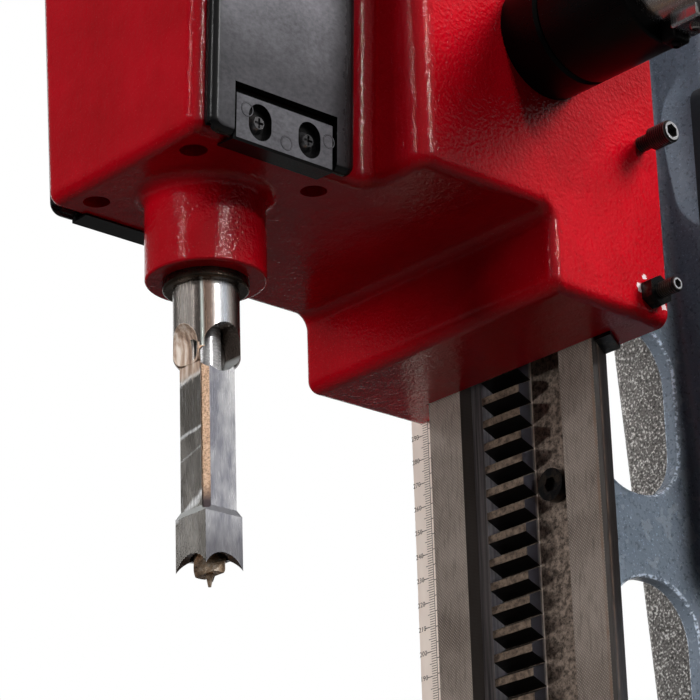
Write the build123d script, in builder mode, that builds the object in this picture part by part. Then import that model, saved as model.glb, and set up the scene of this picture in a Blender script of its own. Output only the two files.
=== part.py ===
"""Floor standing hollow chisel mortiser, one STEP file for each piece.

Frame: origin on the floor in the middle of the base plate, +X to the operator's right,
+Y to the rear, +Z up. All lengths are millimetres.
"""

import math
import os

from build123d import *

# Base plate and feet
base_width = 480.0
base_depth = 620.0
base_height = 40.0
base_corner = 40.0
base_edge = 6.0
pad_height = 50.0
pad_margin = 6.0
anchor_radius = 7.0
anchor_inset = 45.0
level_screw_radius = 6.0
level_screw_head = 11.0
level_screw_head_height = 9.0
level_screw_inset = 48.0

# Column, ways and web
way_face_y = 70.0
way_width = 92.5
way_chamfer = 1.7
way_depth = 15.9
way_angle = 60.0
way_bottom_z = 880.0
column_top_z = 1415.0
groove_width = 54.0
groove_depth = 15.5
shoulder_half = 27.0
shoulder_depth = 22.0
web_root_depth = 31.5
web_thickness = 8.0
flange_front_y = 99.0
flange_lean = 4.8
flange_thickness = 16.0
flange_width = 72.0
flange_edge = 5.0
web_fillet = 4.0
hole_width = 50.0
hole_height = 74.5
hole_pitch = 109.0
hole_count = 11
hole_first_drop = 31.05
hole_setback = 67.0
hole_edge = 2.2
lower_face_width = 130.0
lower_face_depth = 24.0
column_foot_width = 180.0
column_foot_height = 22.0
column_bolt_radius = 8.0
column_bolt_head = 13.0
column_bolt_head_height = 12.0
column_bolt_inset = 22.0

# Rack
rack_module = 3.0
rack_tip_depth = 6.3
rack_full_depth = 6.75
rack_tooth_left = -21.2
rack_tooth_width = 20.4
rack_side_gap = 0.1
rack_flank_angle = 24.5
rack_tip_width = 3.03
rack_end_margin = 3.0
rack_screw_x = 11.0
rack_screw_drop = 79.0
rack_screw_pitch = 116.0
rack_screw_count = 4
rack_screw_head = 6.4
rack_screw_head_height = 4.6
rack_screw_shank = 2.6

# Depth scale and stop
scale_left = -71.5
scale_width = 21.0
scale_thickness = 3.0
scale_gap = 2.3
scale_length = 490.0
scale_top_rise = 160.0
scale_bracket_height = 22.0
scale_bracket_thickness = 12.0
scale_bracket_inset = 36.0
scale_screw_head = 4.2
scale_screw_rise = 1.6
stop_height = 34.0
stop_wall = 7.0
stop_gap = 0.2
stop_below_head = 4.0
stop_knob_radius = 9.0
stop_knob_length = 16.0
stop_stem_radius = 3.0

# Head casting, heights from its underside
head_underside_z = 1225.0
head_height = 165.0
head_stroke = 150.0
front_block_front = 190.0
rear_block_front = 109.5
lower_block_front = 45.8
lower_block_drop = 32.0
jaw_depth = 13.6
front_half_width = 42.25
front_draft = 2.9
rear_left = 67.5
rear_right = 71.3
casting_round = 5.5
rear_corner_round = 8.0
slide_gap = 0.05
gib_thickness = 7.0
spindle_reach = 150.1
boss_radius = 21.8
boss_drop = 33.5
boss_fillet = 5.0
chuck_box_wall = 6.0
chuck_box_floor = 18.0
window_width = 50.0
window_bottom = 26.0
window_top = 112.0
under_hole_radius = 4.9
under_hole_depth = 15.0
under_hole_offset = 27.6
under_screw_sink = 7.0

# Pinion, shaft and lever
pinion_teeth = 36
pinion_height = 66.8
pinion_width = 19.0
pinion_backlash = 0.6
pinion_addendum = 2.2
pinion_cavity_gap = 4.0
shaft_radius = 11.0
shaft_gap = 0.05
collar_radius = 22.7
collar_length = 17.5
collar_bore_gap = 0.3
collar_edge = 1.2
sleeve_gap = 0.4
sleeve_length = 40.0
sleeve_edge = 1.5
lever_hub_radius = 17.0
lever_hub_length = 34.0
lever_hub_edge = 2.0
lever_rest_angle = 45.0
lever_arm_radius = 8.0
lever_arm_length = 360.0
lever_arm_tail = 12.0
lever_grip_radius = 15.0
lever_grip_length = 112.0
lever_grip_neck = 10.0
lever_bolt_radius = 4.0
lever_bolt_head = 6.5
lever_bolt_head_height = 8.0
end_cap_radius = 20.0
end_cap_length = 6.0

# Gib screws on the right face
gib_screw_depth = 5.3
gib_screw_radius = 3.0
gib_screw_out = 13.4
gib_screw_heights = (-21.6, 92.0, 140.0)
gib_nut_size = 10.6
gib_nut_height = 5.0
gib_key = 3.0
gib_tail = 1.5
lock_screw_height = 39.6
lock_shank_radius = 3.0
lock_out = 6.6
lock_head_radius = 4.4
lock_head_height = 9.4
lock_key = 5.0

# Chuck covers and hinge plates, measured on the side face
cover_width = 66.0
cover_shift = -2.2
cover_bottom = -0.5
cover_height = 116.0
cover_thickness = 4.8
cover_base_gap = 0.3
cover_edge = 3.4
cover_corner = 5.0
cover_axis_rise = 2.0
cover_axis_out = 1.8
cover_barrel = 1.5
cover_notch_gap = 0.7
cover_notch_height = 19.8
plate_width = 45.5
plate_top = 17.0
plate_bottom = -1.2
plate_tongue_top = 19.3
plate_thickness = 4.2
plate_edge = 0.8
plate_slot_width = 10.3
plate_slot_height = 13.6
plate_slot_floor = 1.4
hinge_screw_offset = 11.3
hinge_screw_rise = 7.8
hinge_screw_head = 3.8
hinge_screw_head_height = 2.2
hinge_screw_shank = 1.9
hinge_screw_cross = 0.9
hinge_pin_radius = 0.9
hinge_pin_seat = 5.4
hinge_pin_gap = 0.05
lip_top = -0.45
lip_depth = 5.0
latch_width = 22.0
latch_depth = 4.0
latch_height = 6.0

# Chisel, bush and auger bit
bush_ring_radius = 15.5
bush_ring_height = 3.6
bush_ring_edge = 1.0
bush_sleeve_radius = 14.0
bush_sleeve_length = 44.0
bush_screw_radius = 3.0
bush_screw_height = 16.0
bush_screw_out = 4.0
shank_radius = 11.85
shank_end_drop = 65.8
shank_top_drop = 6.0
shank_round = 3.6
chisel_size = 13.64
chisel_flare_drop = 118.8
chisel_flare_end_drop = 121.4
chisel_tip_drop = 140.6
chisel_tip_size = 16.3
chisel_arch_rise = 5.2
chisel_bore = 5.75
chisel_bore_mouth = 7.7
chisel_mouth_depth = 9.0
chisel_slot_width = 3.0
chisel_slot_depth = 3.0
chisel_slot_top = 62.0
chisel_slot_bottom = 120.6
chisel_window_radius = 8.2
scallop_depth = 4.9
chisel_window_drop = 60.4
auger_radius = 5.45
auger_core = 2.2
auger_web = 4.4
auger_turns = 2.1
auger_flute_top = 75.0
auger_lip_drop = 141.5
auger_point_drop = 145.7
auger_shank_radius = 5.0
auger_shank_top = 62.0

# Chuck, motor and its shaft
chuck_radius = 18.0
chuck_nose_radius = 11.0
chuck_bottom = 46.0
chuck_nose_height = 12.0
chuck_top = 98.0
motor_shaft_radius = 9.5
motor_shaft_gap = 0.05
motor_flange_half = 74.0
motor_flange_thickness = 14.0
motor_flange_corner = 18.0
motor_radius = 62.0
motor_rib_height = 7.0
motor_rib_width = 3.0
motor_rib_count = 28
motor_length = 190.0
motor_register = 5.0
cowl_radius = 70.0
cowl_height = 56.0
cowl_wall = 2.5
cowl_edge = 10.0
cowl_slot_count = 16
fan_radius = 60.0
fan_height = 22.0
fan_blades = 8
terminal_width = 84.0
terminal_height = 72.0
terminal_depth = 36.0
terminal_edge = 4.0
motor_bolt_radius = 4.0
motor_bolt_head = 6.5
motor_bolt_head_height = 8.0
motor_bolt_offset = 60.0

# Control box on the column
box_width = 92.0
box_depth = 70.0
box_height = 210.0
box_front_back = 77.5
box_top_rise = 101.0
box_corner = 8.0
box_wall = 3.0
lid_thickness = 4.0
button_radius = 13.0
button_rise = 7.0
button_bezel_radius = 17.0
button_bezel_height = 4.0
button_stem = 8.0
button_travel = 3.0
button_start_drop = 60.0
button_stop_drop = 125.0
gland_radius = 10.0
gland_length = 22.0
gland_bore = 4.5
gland_rise = 24.0
box_screw_radius = 3.4
box_screw_rise = 2.2
box_screw_inset = 10.0

# Table bracket, cross slide and table
table_top_z = 850.0
table_thickness = 36.0
table_length = 560.0
table_depth = 250.0
table_rear_gap = 30.0
table_edge = 3.0
tee_slot_width = 14.0
tee_slot_depth = 9.0
tee_width = 24.0
tee_depth = 9.0
key_width = 90.0
key_height = 9.0
saddle_width = 200.0
saddle_height = 34.0
saddle_length = 220.0
bracket_width = 180.0
bracket_top_thickness = 40.0
bracket_plate = 30.0
bracket_drop = 260.0
bracket_rib = 16.0
bracket_rib_offset = 58.0
bracket_reach = 300.0
bracket_apron = 30.0
bracket_bolt_radius = 7.0
bracket_bolt_head = 11.0
bracket_bolt_head_height = 9.0
bracket_bolt_rise = 60.0
bracket_bolt_pitch = 120.0
cross_forward = 40.0
cross_back = 20.0
lug_width = 28.0
lug_length = 30.0
cross_screw_drop = 60.0
cross_screw_radius = 8.0
end_plate = 12.0
end_plate_width = 70.0
long_travel = 110.0
long_screw_radius = 6.0
fence_thickness = 22.0
fence_height = 96.0
fence_length = 480.0
fence_clear = 52.0
fence_foot_height = 16.0
fence_bolt_radius = 6.0
fence_bolt_head = 9.0
fence_bolt_head_height = 8.0
fence_bolt_pitch = 300.0
fence_board = 10.0

# Work clamp on the table
clamp_width = 64.0
clamp_post_depth = 34.0
clamp_screw_rise = 42.0
clamp_height = 66.0
clamp_screw_radius = 10.0
clamp_pad_width = 110.0
clamp_pad_height = 60.0
clamp_pad_thickness = 18.0
clamp_open = 96.0
clamp_travel = 70.0
clamp_neck = 6.0
clamp_pad_sink = 8.0

# Hand wheels
wheel_radius = 58.0
wheel_rim = 7.0
wheel_hub = 17.0
wheel_hub_length = 26.0
wheel_spoke = 5.5
wheel_spokes = 3
wheel_clear = 3.0
grip_radius = 9.0
grip_length = 44.0
grip_stem = 4.0
grip_gap = 4.0
wheel_rim_round = 4.5

# Derived places
u_z = head_underside_z
way_half = way_width / 2
way_inset = way_depth / math.tan(math.radians(way_angle))
flank_run = 1 / math.tan(math.radians(way_angle))
gib_run = gib_thickness / math.sin(math.radians(way_angle))
gap_run = slide_gap / math.sin(math.radians(way_angle))
spindle_y = way_face_y - spindle_reach
head_front_y = way_face_y - front_block_front
rear_front_y = way_face_y - rear_block_front
lower_front_y = way_face_y - lower_block_front
jaw_rear_y = way_face_y + jaw_depth
pinion_r = rack_module * pinion_teeth / 2
rack_pitch = math.pi * rack_module
rack_tip_y = way_face_y + rack_tip_depth
rack_root_y = rack_tip_y + rack_full_depth
pinion_y = rack_tip_y + rack_module - pinion_r
pinion_z = u_z + pinion_height
head_top_z = u_z + head_height
column_base_z = base_height + pad_height
lean_run = math.tan(math.radians(flange_lean))
draft_run = math.tan(math.radians(front_draft))


def flange_y(z):
    """Front face of the leaning rear flange at a height."""
    return way_face_y + flange_front_y - (z - u_z) * lean_run


def block(x0, x1, y0, y1, z0, z1, mode=Mode.ADD):
    """Box between two corners."""
    with Locations(((x0 + x1) / 2, (y0 + y1) / 2, (z0 + z1) / 2)):
        Box(x1 - x0, y1 - y0, z1 - z0, mode=mode)


def rod_x(x0, x1, y, z, radius, mode=Mode.ADD):
    """Cylinder along X."""
    with Locations(((x0 + x1) / 2, y, z)):
        Cylinder(radius, x1 - x0, rotation=(0, 90, 0), mode=mode)


def rod_y(y0, y1, x, z, radius, mode=Mode.ADD):
    """Cylinder along Y."""
    with Locations((x, (y0 + y1) / 2, z)):
        Cylinder(radius, y1 - y0, rotation=(90, 0, 0), mode=mode)


def rod_z(z0, z1, x, y, radius, mode=Mode.ADD):
    """Cylinder along Z."""
    with Locations((x, y, (z0 + z1) / 2)):
        Cylinder(radius, z1 - z0, mode=mode)


def cap_screw(plane, head_r, head_h, shank_r, length, key):
    """Socket head screw with its head standing on a plane."""
    with BuildSketch(plane) as head:
        Circle(head_r)
    extrude(head.sketch, amount=head_h)
    with BuildSketch(plane) as shank:
        Circle(shank_r)
    extrude(shank.sketch, amount=-length)
    with BuildSketch(plane.offset(head_h)) as socket:
        RegularPolygon(key / math.sqrt(3), 6)
    extrude(socket.sketch, amount=-head_h / 2, mode=Mode.SUBTRACT)


def hex_bolt(plane, head_r, head_h, shank_r, length):
    """Hexagon head bolt with its head standing on a plane."""
    with BuildSketch(plane) as head:
        RegularPolygon(head_r, 6)
    extrude(head.sketch, amount=head_h)
    with BuildSketch(plane) as shank:
        Circle(shank_r)
    extrude(shank.sketch, amount=-length)


def save(builder, name):
    """Label a finished piece and write it."""
    builder.part.label = name
    export_step(builder.part, "parts/" + name + ".step")


os.makedirs("parts", exist_ok=True)

# Base plate with a raised column pad and four anchor holes
pad_front = way_face_y - pad_margin - bracket_plate / 2
pad_rear = flange_y(column_base_z) + flange_thickness + 2 * pad_margin
pad_half = column_foot_width / 2 + pad_margin
with BuildPart() as base_plate:
    with BuildSketch(Plane.XY):
        RectangleRounded(base_width, base_depth, base_corner)
    extrude(amount=base_height)
    chamfer(base_plate.faces().sort_by(Axis.Z)[-1].edges(), base_edge)
    block(-pad_half, pad_half, pad_front, pad_rear, base_height - base_edge, column_base_z)
    fillet(base_plate.edges().filter_by(Axis.Z).group_by(SortBy.LENGTH)[-1], base_edge)
    anchor_x = base_width / 2 - anchor_inset
    anchor_y = base_depth / 2 - anchor_inset
    with Locations((0, 0, 0)):
        with GridLocations(2 * anchor_x, 2 * anchor_y, 2, 2):
            Cylinder(anchor_radius, 3 * base_height, mode=Mode.SUBTRACT)
    level_x = anchor_x - level_screw_inset
    with GridLocations(2 * level_x, 2 * anchor_y, 2, 2):
        Cylinder(level_screw_radius, 3 * base_height, mode=Mode.SUBTRACT)
save(base_plate, "base_plate")

with BuildPart() as levelling_screws:
    for sx in (-1, 1):
        for sy in (-1, 1):
            level_plane = Plane((sx * level_x, sy * anchor_y, base_height))
            hex_bolt(level_plane, level_screw_head, level_screw_head_height, level_screw_radius, base_height)
save(levelling_screws, "levelling_screws")

# Column casting: holed web, leaning rear flange, dovetail ways in front, foot
chamfer_run = way_chamfer * flank_run
web_half = web_thickness / 2
hole_zs = [u_z - hole_first_drop + hole_pitch * (1 - hole) for hole in range(hole_count)]
with BuildPart() as column:
    with BuildSketch(Plane.YZ):
        with BuildLine():
            Polyline(
                (way_face_y + shoulder_depth, column_base_z),
                (flange_y(column_base_z) + flange_edge, column_base_z),
                (flange_y(column_top_z) + flange_edge, column_top_z),
                (way_face_y + shoulder_depth, column_top_z),
                close=True,
            )
        make_face()
    extrude(amount=web_half, both=True)
    with BuildSketch(Plane.YZ):
        with BuildLine():
            Polyline(
                (flange_y(column_base_z), column_base_z),
                (flange_y(column_base_z) + flange_thickness, column_base_z),
                (flange_y(column_top_z) + flange_thickness, column_top_z),
                (flange_y(column_top_z), column_top_z),
                close=True,
            )
        make_face()
    extrude(amount=flange_width / 2, both=True)
    uprights = [edge for edge in column.edges() if edge.bounding_box().size.Z > way_bottom_z - column_base_z]
    flange_corners = [edge for edge in uprights if abs(edge.center().X) > web_thickness]
    flange_roots = [
        edge
        for edge in uprights
        if abs(edge.center().X) < web_thickness and edge.center().Y > way_face_y + 2 * shoulder_depth
    ]
    fillet(flange_corners, flange_edge)
    fillet(flange_roots, web_fillet)
    with BuildSketch(Plane.YZ.offset(-web_thickness)):
        for hole_z in hole_zs:
            hole_y = way_face_y + hole_setback + (u_z - hole_first_drop - hole_z) * lean_run / 2
            with Locations((hole_y, hole_z)):
                RectangleRounded(hole_width, hole_height, hole_width / 2 - way_chamfer)
    extrude(amount=2 * web_thickness, mode=Mode.SUBTRACT)
    hole_rims = [
        edge
        for edge in column.edges()
        if abs(abs(edge.center().X) - web_half) < slide_gap
        and edge.length < hole_height
        and column_base_z + slide_gap < edge.center().Z < column_top_z - slide_gap
    ]
    fillet(hole_rims, hole_edge)
    with BuildSketch(Plane.XY.offset(way_bottom_z)):
        with BuildLine():
            Polyline(
                (-way_half + way_chamfer, way_face_y),
                (way_half - way_chamfer, way_face_y),
                (way_half - chamfer_run, way_face_y + way_chamfer),
                (way_half - way_inset, way_face_y + way_depth),
                (shoulder_half, way_face_y + shoulder_depth),
                (web_half, way_face_y + web_root_depth),
                (-web_half, way_face_y + web_root_depth),
                (-shoulder_half, way_face_y + shoulder_depth),
                (-way_half + way_inset, way_face_y + way_depth),
                (-way_half + chamfer_run, way_face_y + way_chamfer),
                close=True,
            )
        make_face()
    extrude(amount=column_top_z - way_bottom_z)
    block(-groove_width / 2, groove_width / 2, way_face_y - groove_depth, way_face_y + groove_depth,
          way_bottom_z, column_top_z + groove_depth, mode=Mode.SUBTRACT)
    block(-lower_face_width / 2, lower_face_width / 2, way_face_y, way_face_y + lower_face_depth,
          column_base_z, way_bottom_z)
    block(-column_foot_width / 2, column_foot_width / 2, pad_front + pad_margin, pad_rear - pad_margin,
          column_base_z, column_base_z + column_foot_height)
    column_bolt_x = column_foot_width / 2 - column_bolt_inset
    column_bolt_front = way_face_y + lower_face_depth + column_bolt_head + pad_margin
    column_bolt_rear = pad_rear - pad_margin - column_bolt_inset
    column_bolt_mid = (column_bolt_front + column_bolt_rear) / 2
    column_bolt_places = [
        (sx * column_bolt_x, y)
        for sx in (-1, 1)
        for y in (column_bolt_front, column_bolt_mid, column_bolt_rear)
    ]
    for bx, by in column_bolt_places:
        rod_z(column_base_z - pad_height, column_base_z + 2 * column_foot_height, bx, by, column_bolt_radius,
              mode=Mode.SUBTRACT)
save(column, "column")

with BuildPart() as column_bolts:
    for bx, by in column_bolt_places:
        bolt_plane = Plane((bx, by, column_base_z + column_foot_height))
        hex_bolt(bolt_plane, column_bolt_head, column_bolt_head_height, column_bolt_radius, column_foot_height)
save(column_bolts, "column_bolts")

# Rack plate in the groove, teeth on its left part
rack_half = groove_width / 2 - rack_side_gap
rack_bottom_z = way_bottom_z + rack_end_margin
rack_top_z = column_top_z - rack_end_margin
flank_half = rack_module * math.tan(math.radians(rack_flank_angle))
ded_half = (rack_full_depth - rack_module) * math.tan(math.radians(rack_flank_angle))
tooth_half = rack_tip_width / 2 + flank_half
tooth_low = math.ceil((rack_bottom_z - pinion_z + rack_pitch / 2) / rack_pitch)
tooth_high = math.floor((rack_top_z - pinion_z - rack_pitch / 2) / rack_pitch)
rack_back_y = way_face_y + groove_depth
rack_points = [(rack_back_y, rack_bottom_z), (rack_root_y, rack_bottom_z)]
for tooth in range(tooth_low, tooth_high + 1):
    tooth_z = pinion_z + tooth * rack_pitch
    rack_points.append((rack_root_y, tooth_z - tooth_half - ded_half))
    rack_points.append((rack_tip_y, tooth_z - tooth_half + flank_half))
    rack_points.append((rack_tip_y, tooth_z + tooth_half - flank_half))
    rack_points.append((rack_root_y, tooth_z + tooth_half + ded_half))
rack_points.append((rack_root_y, rack_top_z))
rack_points.append((rack_back_y, rack_top_z))
rack_screw_places = [
    u_z - rack_screw_drop + rack_screw_pitch * (1 - item) for item in range(rack_screw_count)
]
with BuildPart() as rack:
    with BuildSketch(Plane.YZ.offset(rack_tooth_left)):
        with BuildLine():
            Polyline(*rack_points, close=True)
        make_face()
    extrude(amount=rack_tooth_width)
    block(-rack_half, rack_tooth_left, rack_tip_y, rack_back_y, rack_bottom_z, rack_top_z)
    block(rack_tooth_left + rack_tooth_width, rack_half, rack_root_y, rack_back_y, rack_bottom_z, rack_top_z)
    for screw_z in rack_screw_places:
        rod_y(rack_root_y, rack_back_y, rack_screw_x, screw_z, rack_screw_shank, mode=Mode.SUBTRACT)
save(rack, "rack")

with BuildPart() as rack_screws:
    for screw_z in rack_screw_places:
        screw_plane = Plane((rack_screw_x, rack_root_y, screw_z), x_dir=(1, 0, 0), z_dir=(0, -1, 0))
        cap_screw(screw_plane, rack_screw_head, rack_screw_head_height, rack_screw_shank,
                  rack_back_y - rack_root_y, rack_screw_shank * 2)
save(rack_screws, "rack_screws")

# Depth scale bar on two brackets at the left of the ways
scale_front_y = jaw_rear_y + scale_gap
scale_back_y = scale_front_y + scale_thickness
scale_right = scale_left + scale_width
scale_top_z = u_z + scale_top_rise
scale_bottom_z = scale_top_z - scale_length
bracket_zs = (scale_bottom_z + scale_bracket_inset, scale_top_z - scale_bracket_inset)
bracket_y0 = way_face_y + web_root_depth + slide_gap
with BuildPart() as scale_bar:
    block(scale_left, scale_right, scale_front_y, scale_back_y, scale_bottom_z, scale_top_z)
save(scale_bar, "scale_bar")

web_zs = [hole_z - hole_pitch / 2 for hole_z in hole_zs]
low_web_z = min(web_zs, key=lambda z: abs(z - bracket_zs[0]))
high_web_z = min(web_zs, key=lambda z: abs(z - bracket_zs[1]))
with BuildPart() as scale_brackets:
    for bracket_z in (low_web_z, high_web_z):
        z0 = bracket_z - scale_bracket_height / 2
        z1 = bracket_z + scale_bracket_height / 2
        block(scale_left + scale_thickness, -web_thickness / 2, bracket_y0,
              bracket_y0 + scale_bracket_thickness, z0, z1)
        block(scale_left + scale_thickness, scale_right - scale_thickness, scale_back_y,
              bracket_y0 + scale_bracket_thickness, z0, z1)
save(scale_brackets, "scale_brackets")

scale_mid_x = (scale_left + scale_right) / 2
with BuildPart() as scale_screws:
    for bracket_z in (low_web_z, high_web_z):
        rod_y(scale_front_y - scale_screw_rise, scale_front_y, scale_mid_x, bracket_z, scale_screw_head)
save(scale_screws, "scale_screws")

# Depth stop: a block that slides on the scale bar, locked by a knob
stop_top_z = u_z - lower_block_drop - head_stroke - stop_below_head
stop_bottom_z = stop_top_z - stop_height
stop_x0 = scale_left - stop_wall
stop_x1 = scale_right + stop_gap
stop_y0 = way_face_y
stop_y1 = scale_back_y + stop_wall
with BuildPart() as depth_stop:
    block(stop_x0, stop_x1, stop_y0, stop_y1, stop_bottom_z, stop_top_z)
    block(scale_left - stop_gap, scale_right + 2 * stop_gap, scale_front_y - stop_gap, scale_back_y + stop_gap,
          stop_bottom_z - stop_gap, stop_top_z + stop_gap, mode=Mode.SUBTRACT)
    block(scale_right - scale_thickness, scale_right + 2 * stop_gap, scale_back_y, stop_y1 + stop_gap,
          stop_bottom_z - stop_gap, stop_top_z + stop_gap, mode=Mode.SUBTRACT)
    fillet(depth_stop.edges().filter_by(Axis.Z).group_by(Axis.X)[0], stop_gap * 5)
    stop_mid_z = (stop_bottom_z + stop_top_z) / 2
    rod_x(stop_x0 - stop_gap, scale_left, scale_front_y - stop_wall, stop_mid_z, stop_stem_radius,
          mode=Mode.SUBTRACT)
save(depth_stop, "depth_stop")

with BuildPart() as depth_stop_knob:
    rod_x(stop_x0, scale_left, scale_front_y - stop_wall, stop_mid_z, stop_stem_radius)
    rod_x(stop_x0 - stop_knob_length, stop_x0, scale_front_y - stop_wall, stop_mid_z, stop_knob_radius)
    fillet(depth_stop_knob.faces().sort_by(Axis.X)[0].edges(), stop_gap * 8)
save(depth_stop_knob, "depth_stop_knob")

# Head casting: front chuck box, rear slide box, lower slide block, chisel boss
slot_left = -way_half - gap_run
slot_right = way_half + gap_run + gib_run
slot_front_y = way_face_y - slide_gap
slot_rear_y = jaw_rear_y + slide_gap
front_top_half = front_half_width + head_height * draft_run
cavity_r = pinion_r + rack_module + pinion_cavity_gap
cavity_x0 = rack_tooth_left - pinion_cavity_gap / 2
cavity_x1 = rack_tooth_left + rack_tooth_width + pinion_cavity_gap / 2
lower_z = u_z - lower_block_drop
gib_screw_y = way_face_y + gib_screw_depth
gib_screw_x0 = slot_right - (gib_screw_depth - gib_screw_radius) * flank_run + slide_gap
motor_hole_radius = spindle_reach - rear_block_front - 2 * chuck_box_wall
with BuildPart() as head_casting:
    with BuildSketch(Plane.XZ.offset(-rear_front_y - casting_round)):
        with BuildLine():
            Polyline(
                (-front_half_width, u_z),
                (front_half_width, u_z),
                (front_top_half, head_top_z),
                (-front_top_half, head_top_z),
                close=True,
            )
        make_face()
    extrude(amount=rear_front_y + casting_round - head_front_y)
    block(-rear_left, rear_right, rear_front_y, jaw_rear_y, u_z, head_top_z)
    block(-rear_left, rear_right, lower_front_y, jaw_rear_y, lower_z, u_z + casting_round)
    upright = [
        edge
        for edge in head_casting.edges()
        if edge.bounding_box().size.Z > head_height - casting_round
    ]
    corner_edges = [
        edge
        for edge in upright
        if abs(edge.center().Y - rear_front_y) < slide_gap and abs(edge.center().X) > front_top_half + casting_round
    ]
    fillet(corner_edges, rear_corner_round)
    upright = [
        edge
        for edge in head_casting.edges()
        if edge.bounding_box().size.Z > head_height - casting_round
        and edge.center().Y < rear_front_y + slide_gap
        and abs(edge.center().X) < front_top_half
    ]
    fillet(upright, casting_round)
    crease = [
        edge
        for edge in head_casting.edges().filter_by(Axis.X)
        if abs(edge.center().Y - lower_front_y) < slide_gap
    ]
    fillet(crease, casting_round)
    rim = [
        edge
        for edge in head_casting.edges()
        if edge.center().Z < u_z + slide_gap
        and not (edge.bounding_box().size.X > rear_right and edge.center().Y > rear_front_y + casting_round)
        and edge.center().Y < jaw_rear_y - slide_gap
    ]
    fillet(rim, casting_round - slide_gap * 10)
    rod_z(u_z - boss_drop, u_z + casting_round, 0, spindle_y, boss_radius)
    boss_root = [
        edge
        for edge in head_casting.edges().filter_by(GeomType.CIRCLE)
        if abs(edge.center().Z - u_z) < slide_gap and abs(edge.radius - boss_radius) < slide_gap
    ]
    fillet(boss_root, boss_fillet)
    boss_end = [
        edge
        for edge in head_casting.edges().filter_by(GeomType.CIRCLE)
        if abs(edge.center().Z - u_z + boss_drop) < slide_gap
    ]
    fillet(boss_end, bush_ring_edge)
    block(-front_half_width + chuck_box_wall, front_half_width - chuck_box_wall, head_front_y + chuck_box_wall,
          rear_front_y - chuck_box_wall, u_z + chuck_box_floor, head_top_z - 2 * chuck_box_wall,
          mode=Mode.SUBTRACT)
    block(-2 * front_half_width, 2 * front_half_width, spindle_y - window_width / 2, spindle_y + window_width / 2,
          u_z + window_bottom, u_z + window_top, mode=Mode.SUBTRACT)
    rod_z(u_z + chuck_box_floor, head_top_z + chuck_box_wall, 0, spindle_y, motor_hole_radius,
          mode=Mode.SUBTRACT)
    rod_z(u_z - boss_drop - bush_ring_height, u_z + 2 * chuck_box_floor, 0, spindle_y, bush_sleeve_radius,
          mode=Mode.SUBTRACT)
    for sx in (-1, 1):
        for sy in (-1, 1):
            rod_z(u_z - casting_round, u_z + under_hole_depth, sx * under_hole_offset,
                  spindle_y + sy * under_hole_offset, under_hole_radius, mode=Mode.SUBTRACT)
    rod_x(cavity_x0, cavity_x1, pinion_y, pinion_z, cavity_r, mode=Mode.SUBTRACT)
    rod_x(-2 * rear_left, 2 * rear_right, pinion_y, pinion_z, shaft_radius + shaft_gap, mode=Mode.SUBTRACT)
    with BuildSketch(Plane.XY.offset(lower_z - casting_round)):
        with BuildLine():
            Polyline(
                (slot_left - slide_gap * flank_run, slot_front_y),
                (slot_right + slide_gap * flank_run, slot_front_y),
                (slot_right - (jaw_depth + slide_gap) * flank_run, slot_rear_y),
                (slot_left + (jaw_depth + slide_gap) * flank_run, slot_rear_y),
                close=True,
            )
        make_face()
    extrude(amount=lower_block_drop + head_height + 3 * casting_round, mode=Mode.SUBTRACT)
    for height in gib_screw_heights:
        rod_x(way_half - way_inset, 2 * rear_right, gib_screw_y, u_z + height, gib_screw_radius,
              mode=Mode.SUBTRACT)
    rod_x(way_half - way_inset, 2 * rear_right, gib_screw_y, u_z + lock_screw_height, lock_shank_radius,
          mode=Mode.SUBTRACT)
    rod_x(-2 * boss_radius, 0, spindle_y, u_z - bush_screw_height, bush_screw_radius, mode=Mode.SUBTRACT)
save(head_casting, "head_casting")

# Gib strip between the right jaw and the right flank of the ways
gib_x0 = way_half + gap_run
with BuildPart() as gib:
    with BuildSketch(Plane.XY.offset(lower_z - gib_tail)):
        with BuildLine():
            Polyline(
                (gib_x0, way_face_y),
                (gib_x0 + gib_run, way_face_y),
                (gib_x0 + gib_run - jaw_depth * flank_run, jaw_rear_y),
                (gib_x0 - jaw_depth * flank_run, jaw_rear_y),
                close=True,
            )
        make_face()
    extrude(amount=head_top_z - lower_z + gib_tail)
save(gib, "gib")

with BuildPart() as gib_screws:
    for height in gib_screw_heights:
        rod_x(gib_screw_x0, rear_right + gib_screw_out, gib_screw_y, u_z + height, gib_screw_radius)
    chamfer(gib_screws.faces().filter_by(Axis.X).group_by(Axis.X)[-1].edges(), gib_tail / 2)
    for height in gib_screw_heights:
        with BuildSketch(Plane((rear_right + gib_screw_out, gib_screw_y, u_z + height), z_dir=(1, 0, 0))):
            RegularPolygon(gib_key / math.sqrt(3), 6)
        extrude(amount=-gib_nut_height, mode=Mode.SUBTRACT)
save(gib_screws, "gib_screws")

with BuildPart() as gib_nuts:
    for height in gib_screw_heights:
        nut_plane = Plane((rear_right, gib_screw_y, u_z + height), x_dir=(0, 0, 1), z_dir=(1, 0, 0))
        with BuildSketch(nut_plane):
            RegularPolygon(gib_nut_size / math.sqrt(3), 6)
        extrude(amount=gib_nut_height)
        rod_x(rear_right, rear_right + gib_nut_height, gib_screw_y, u_z + height, gib_screw_radius,
              mode=Mode.SUBTRACT)
save(gib_nuts, "gib_nuts")

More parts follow.
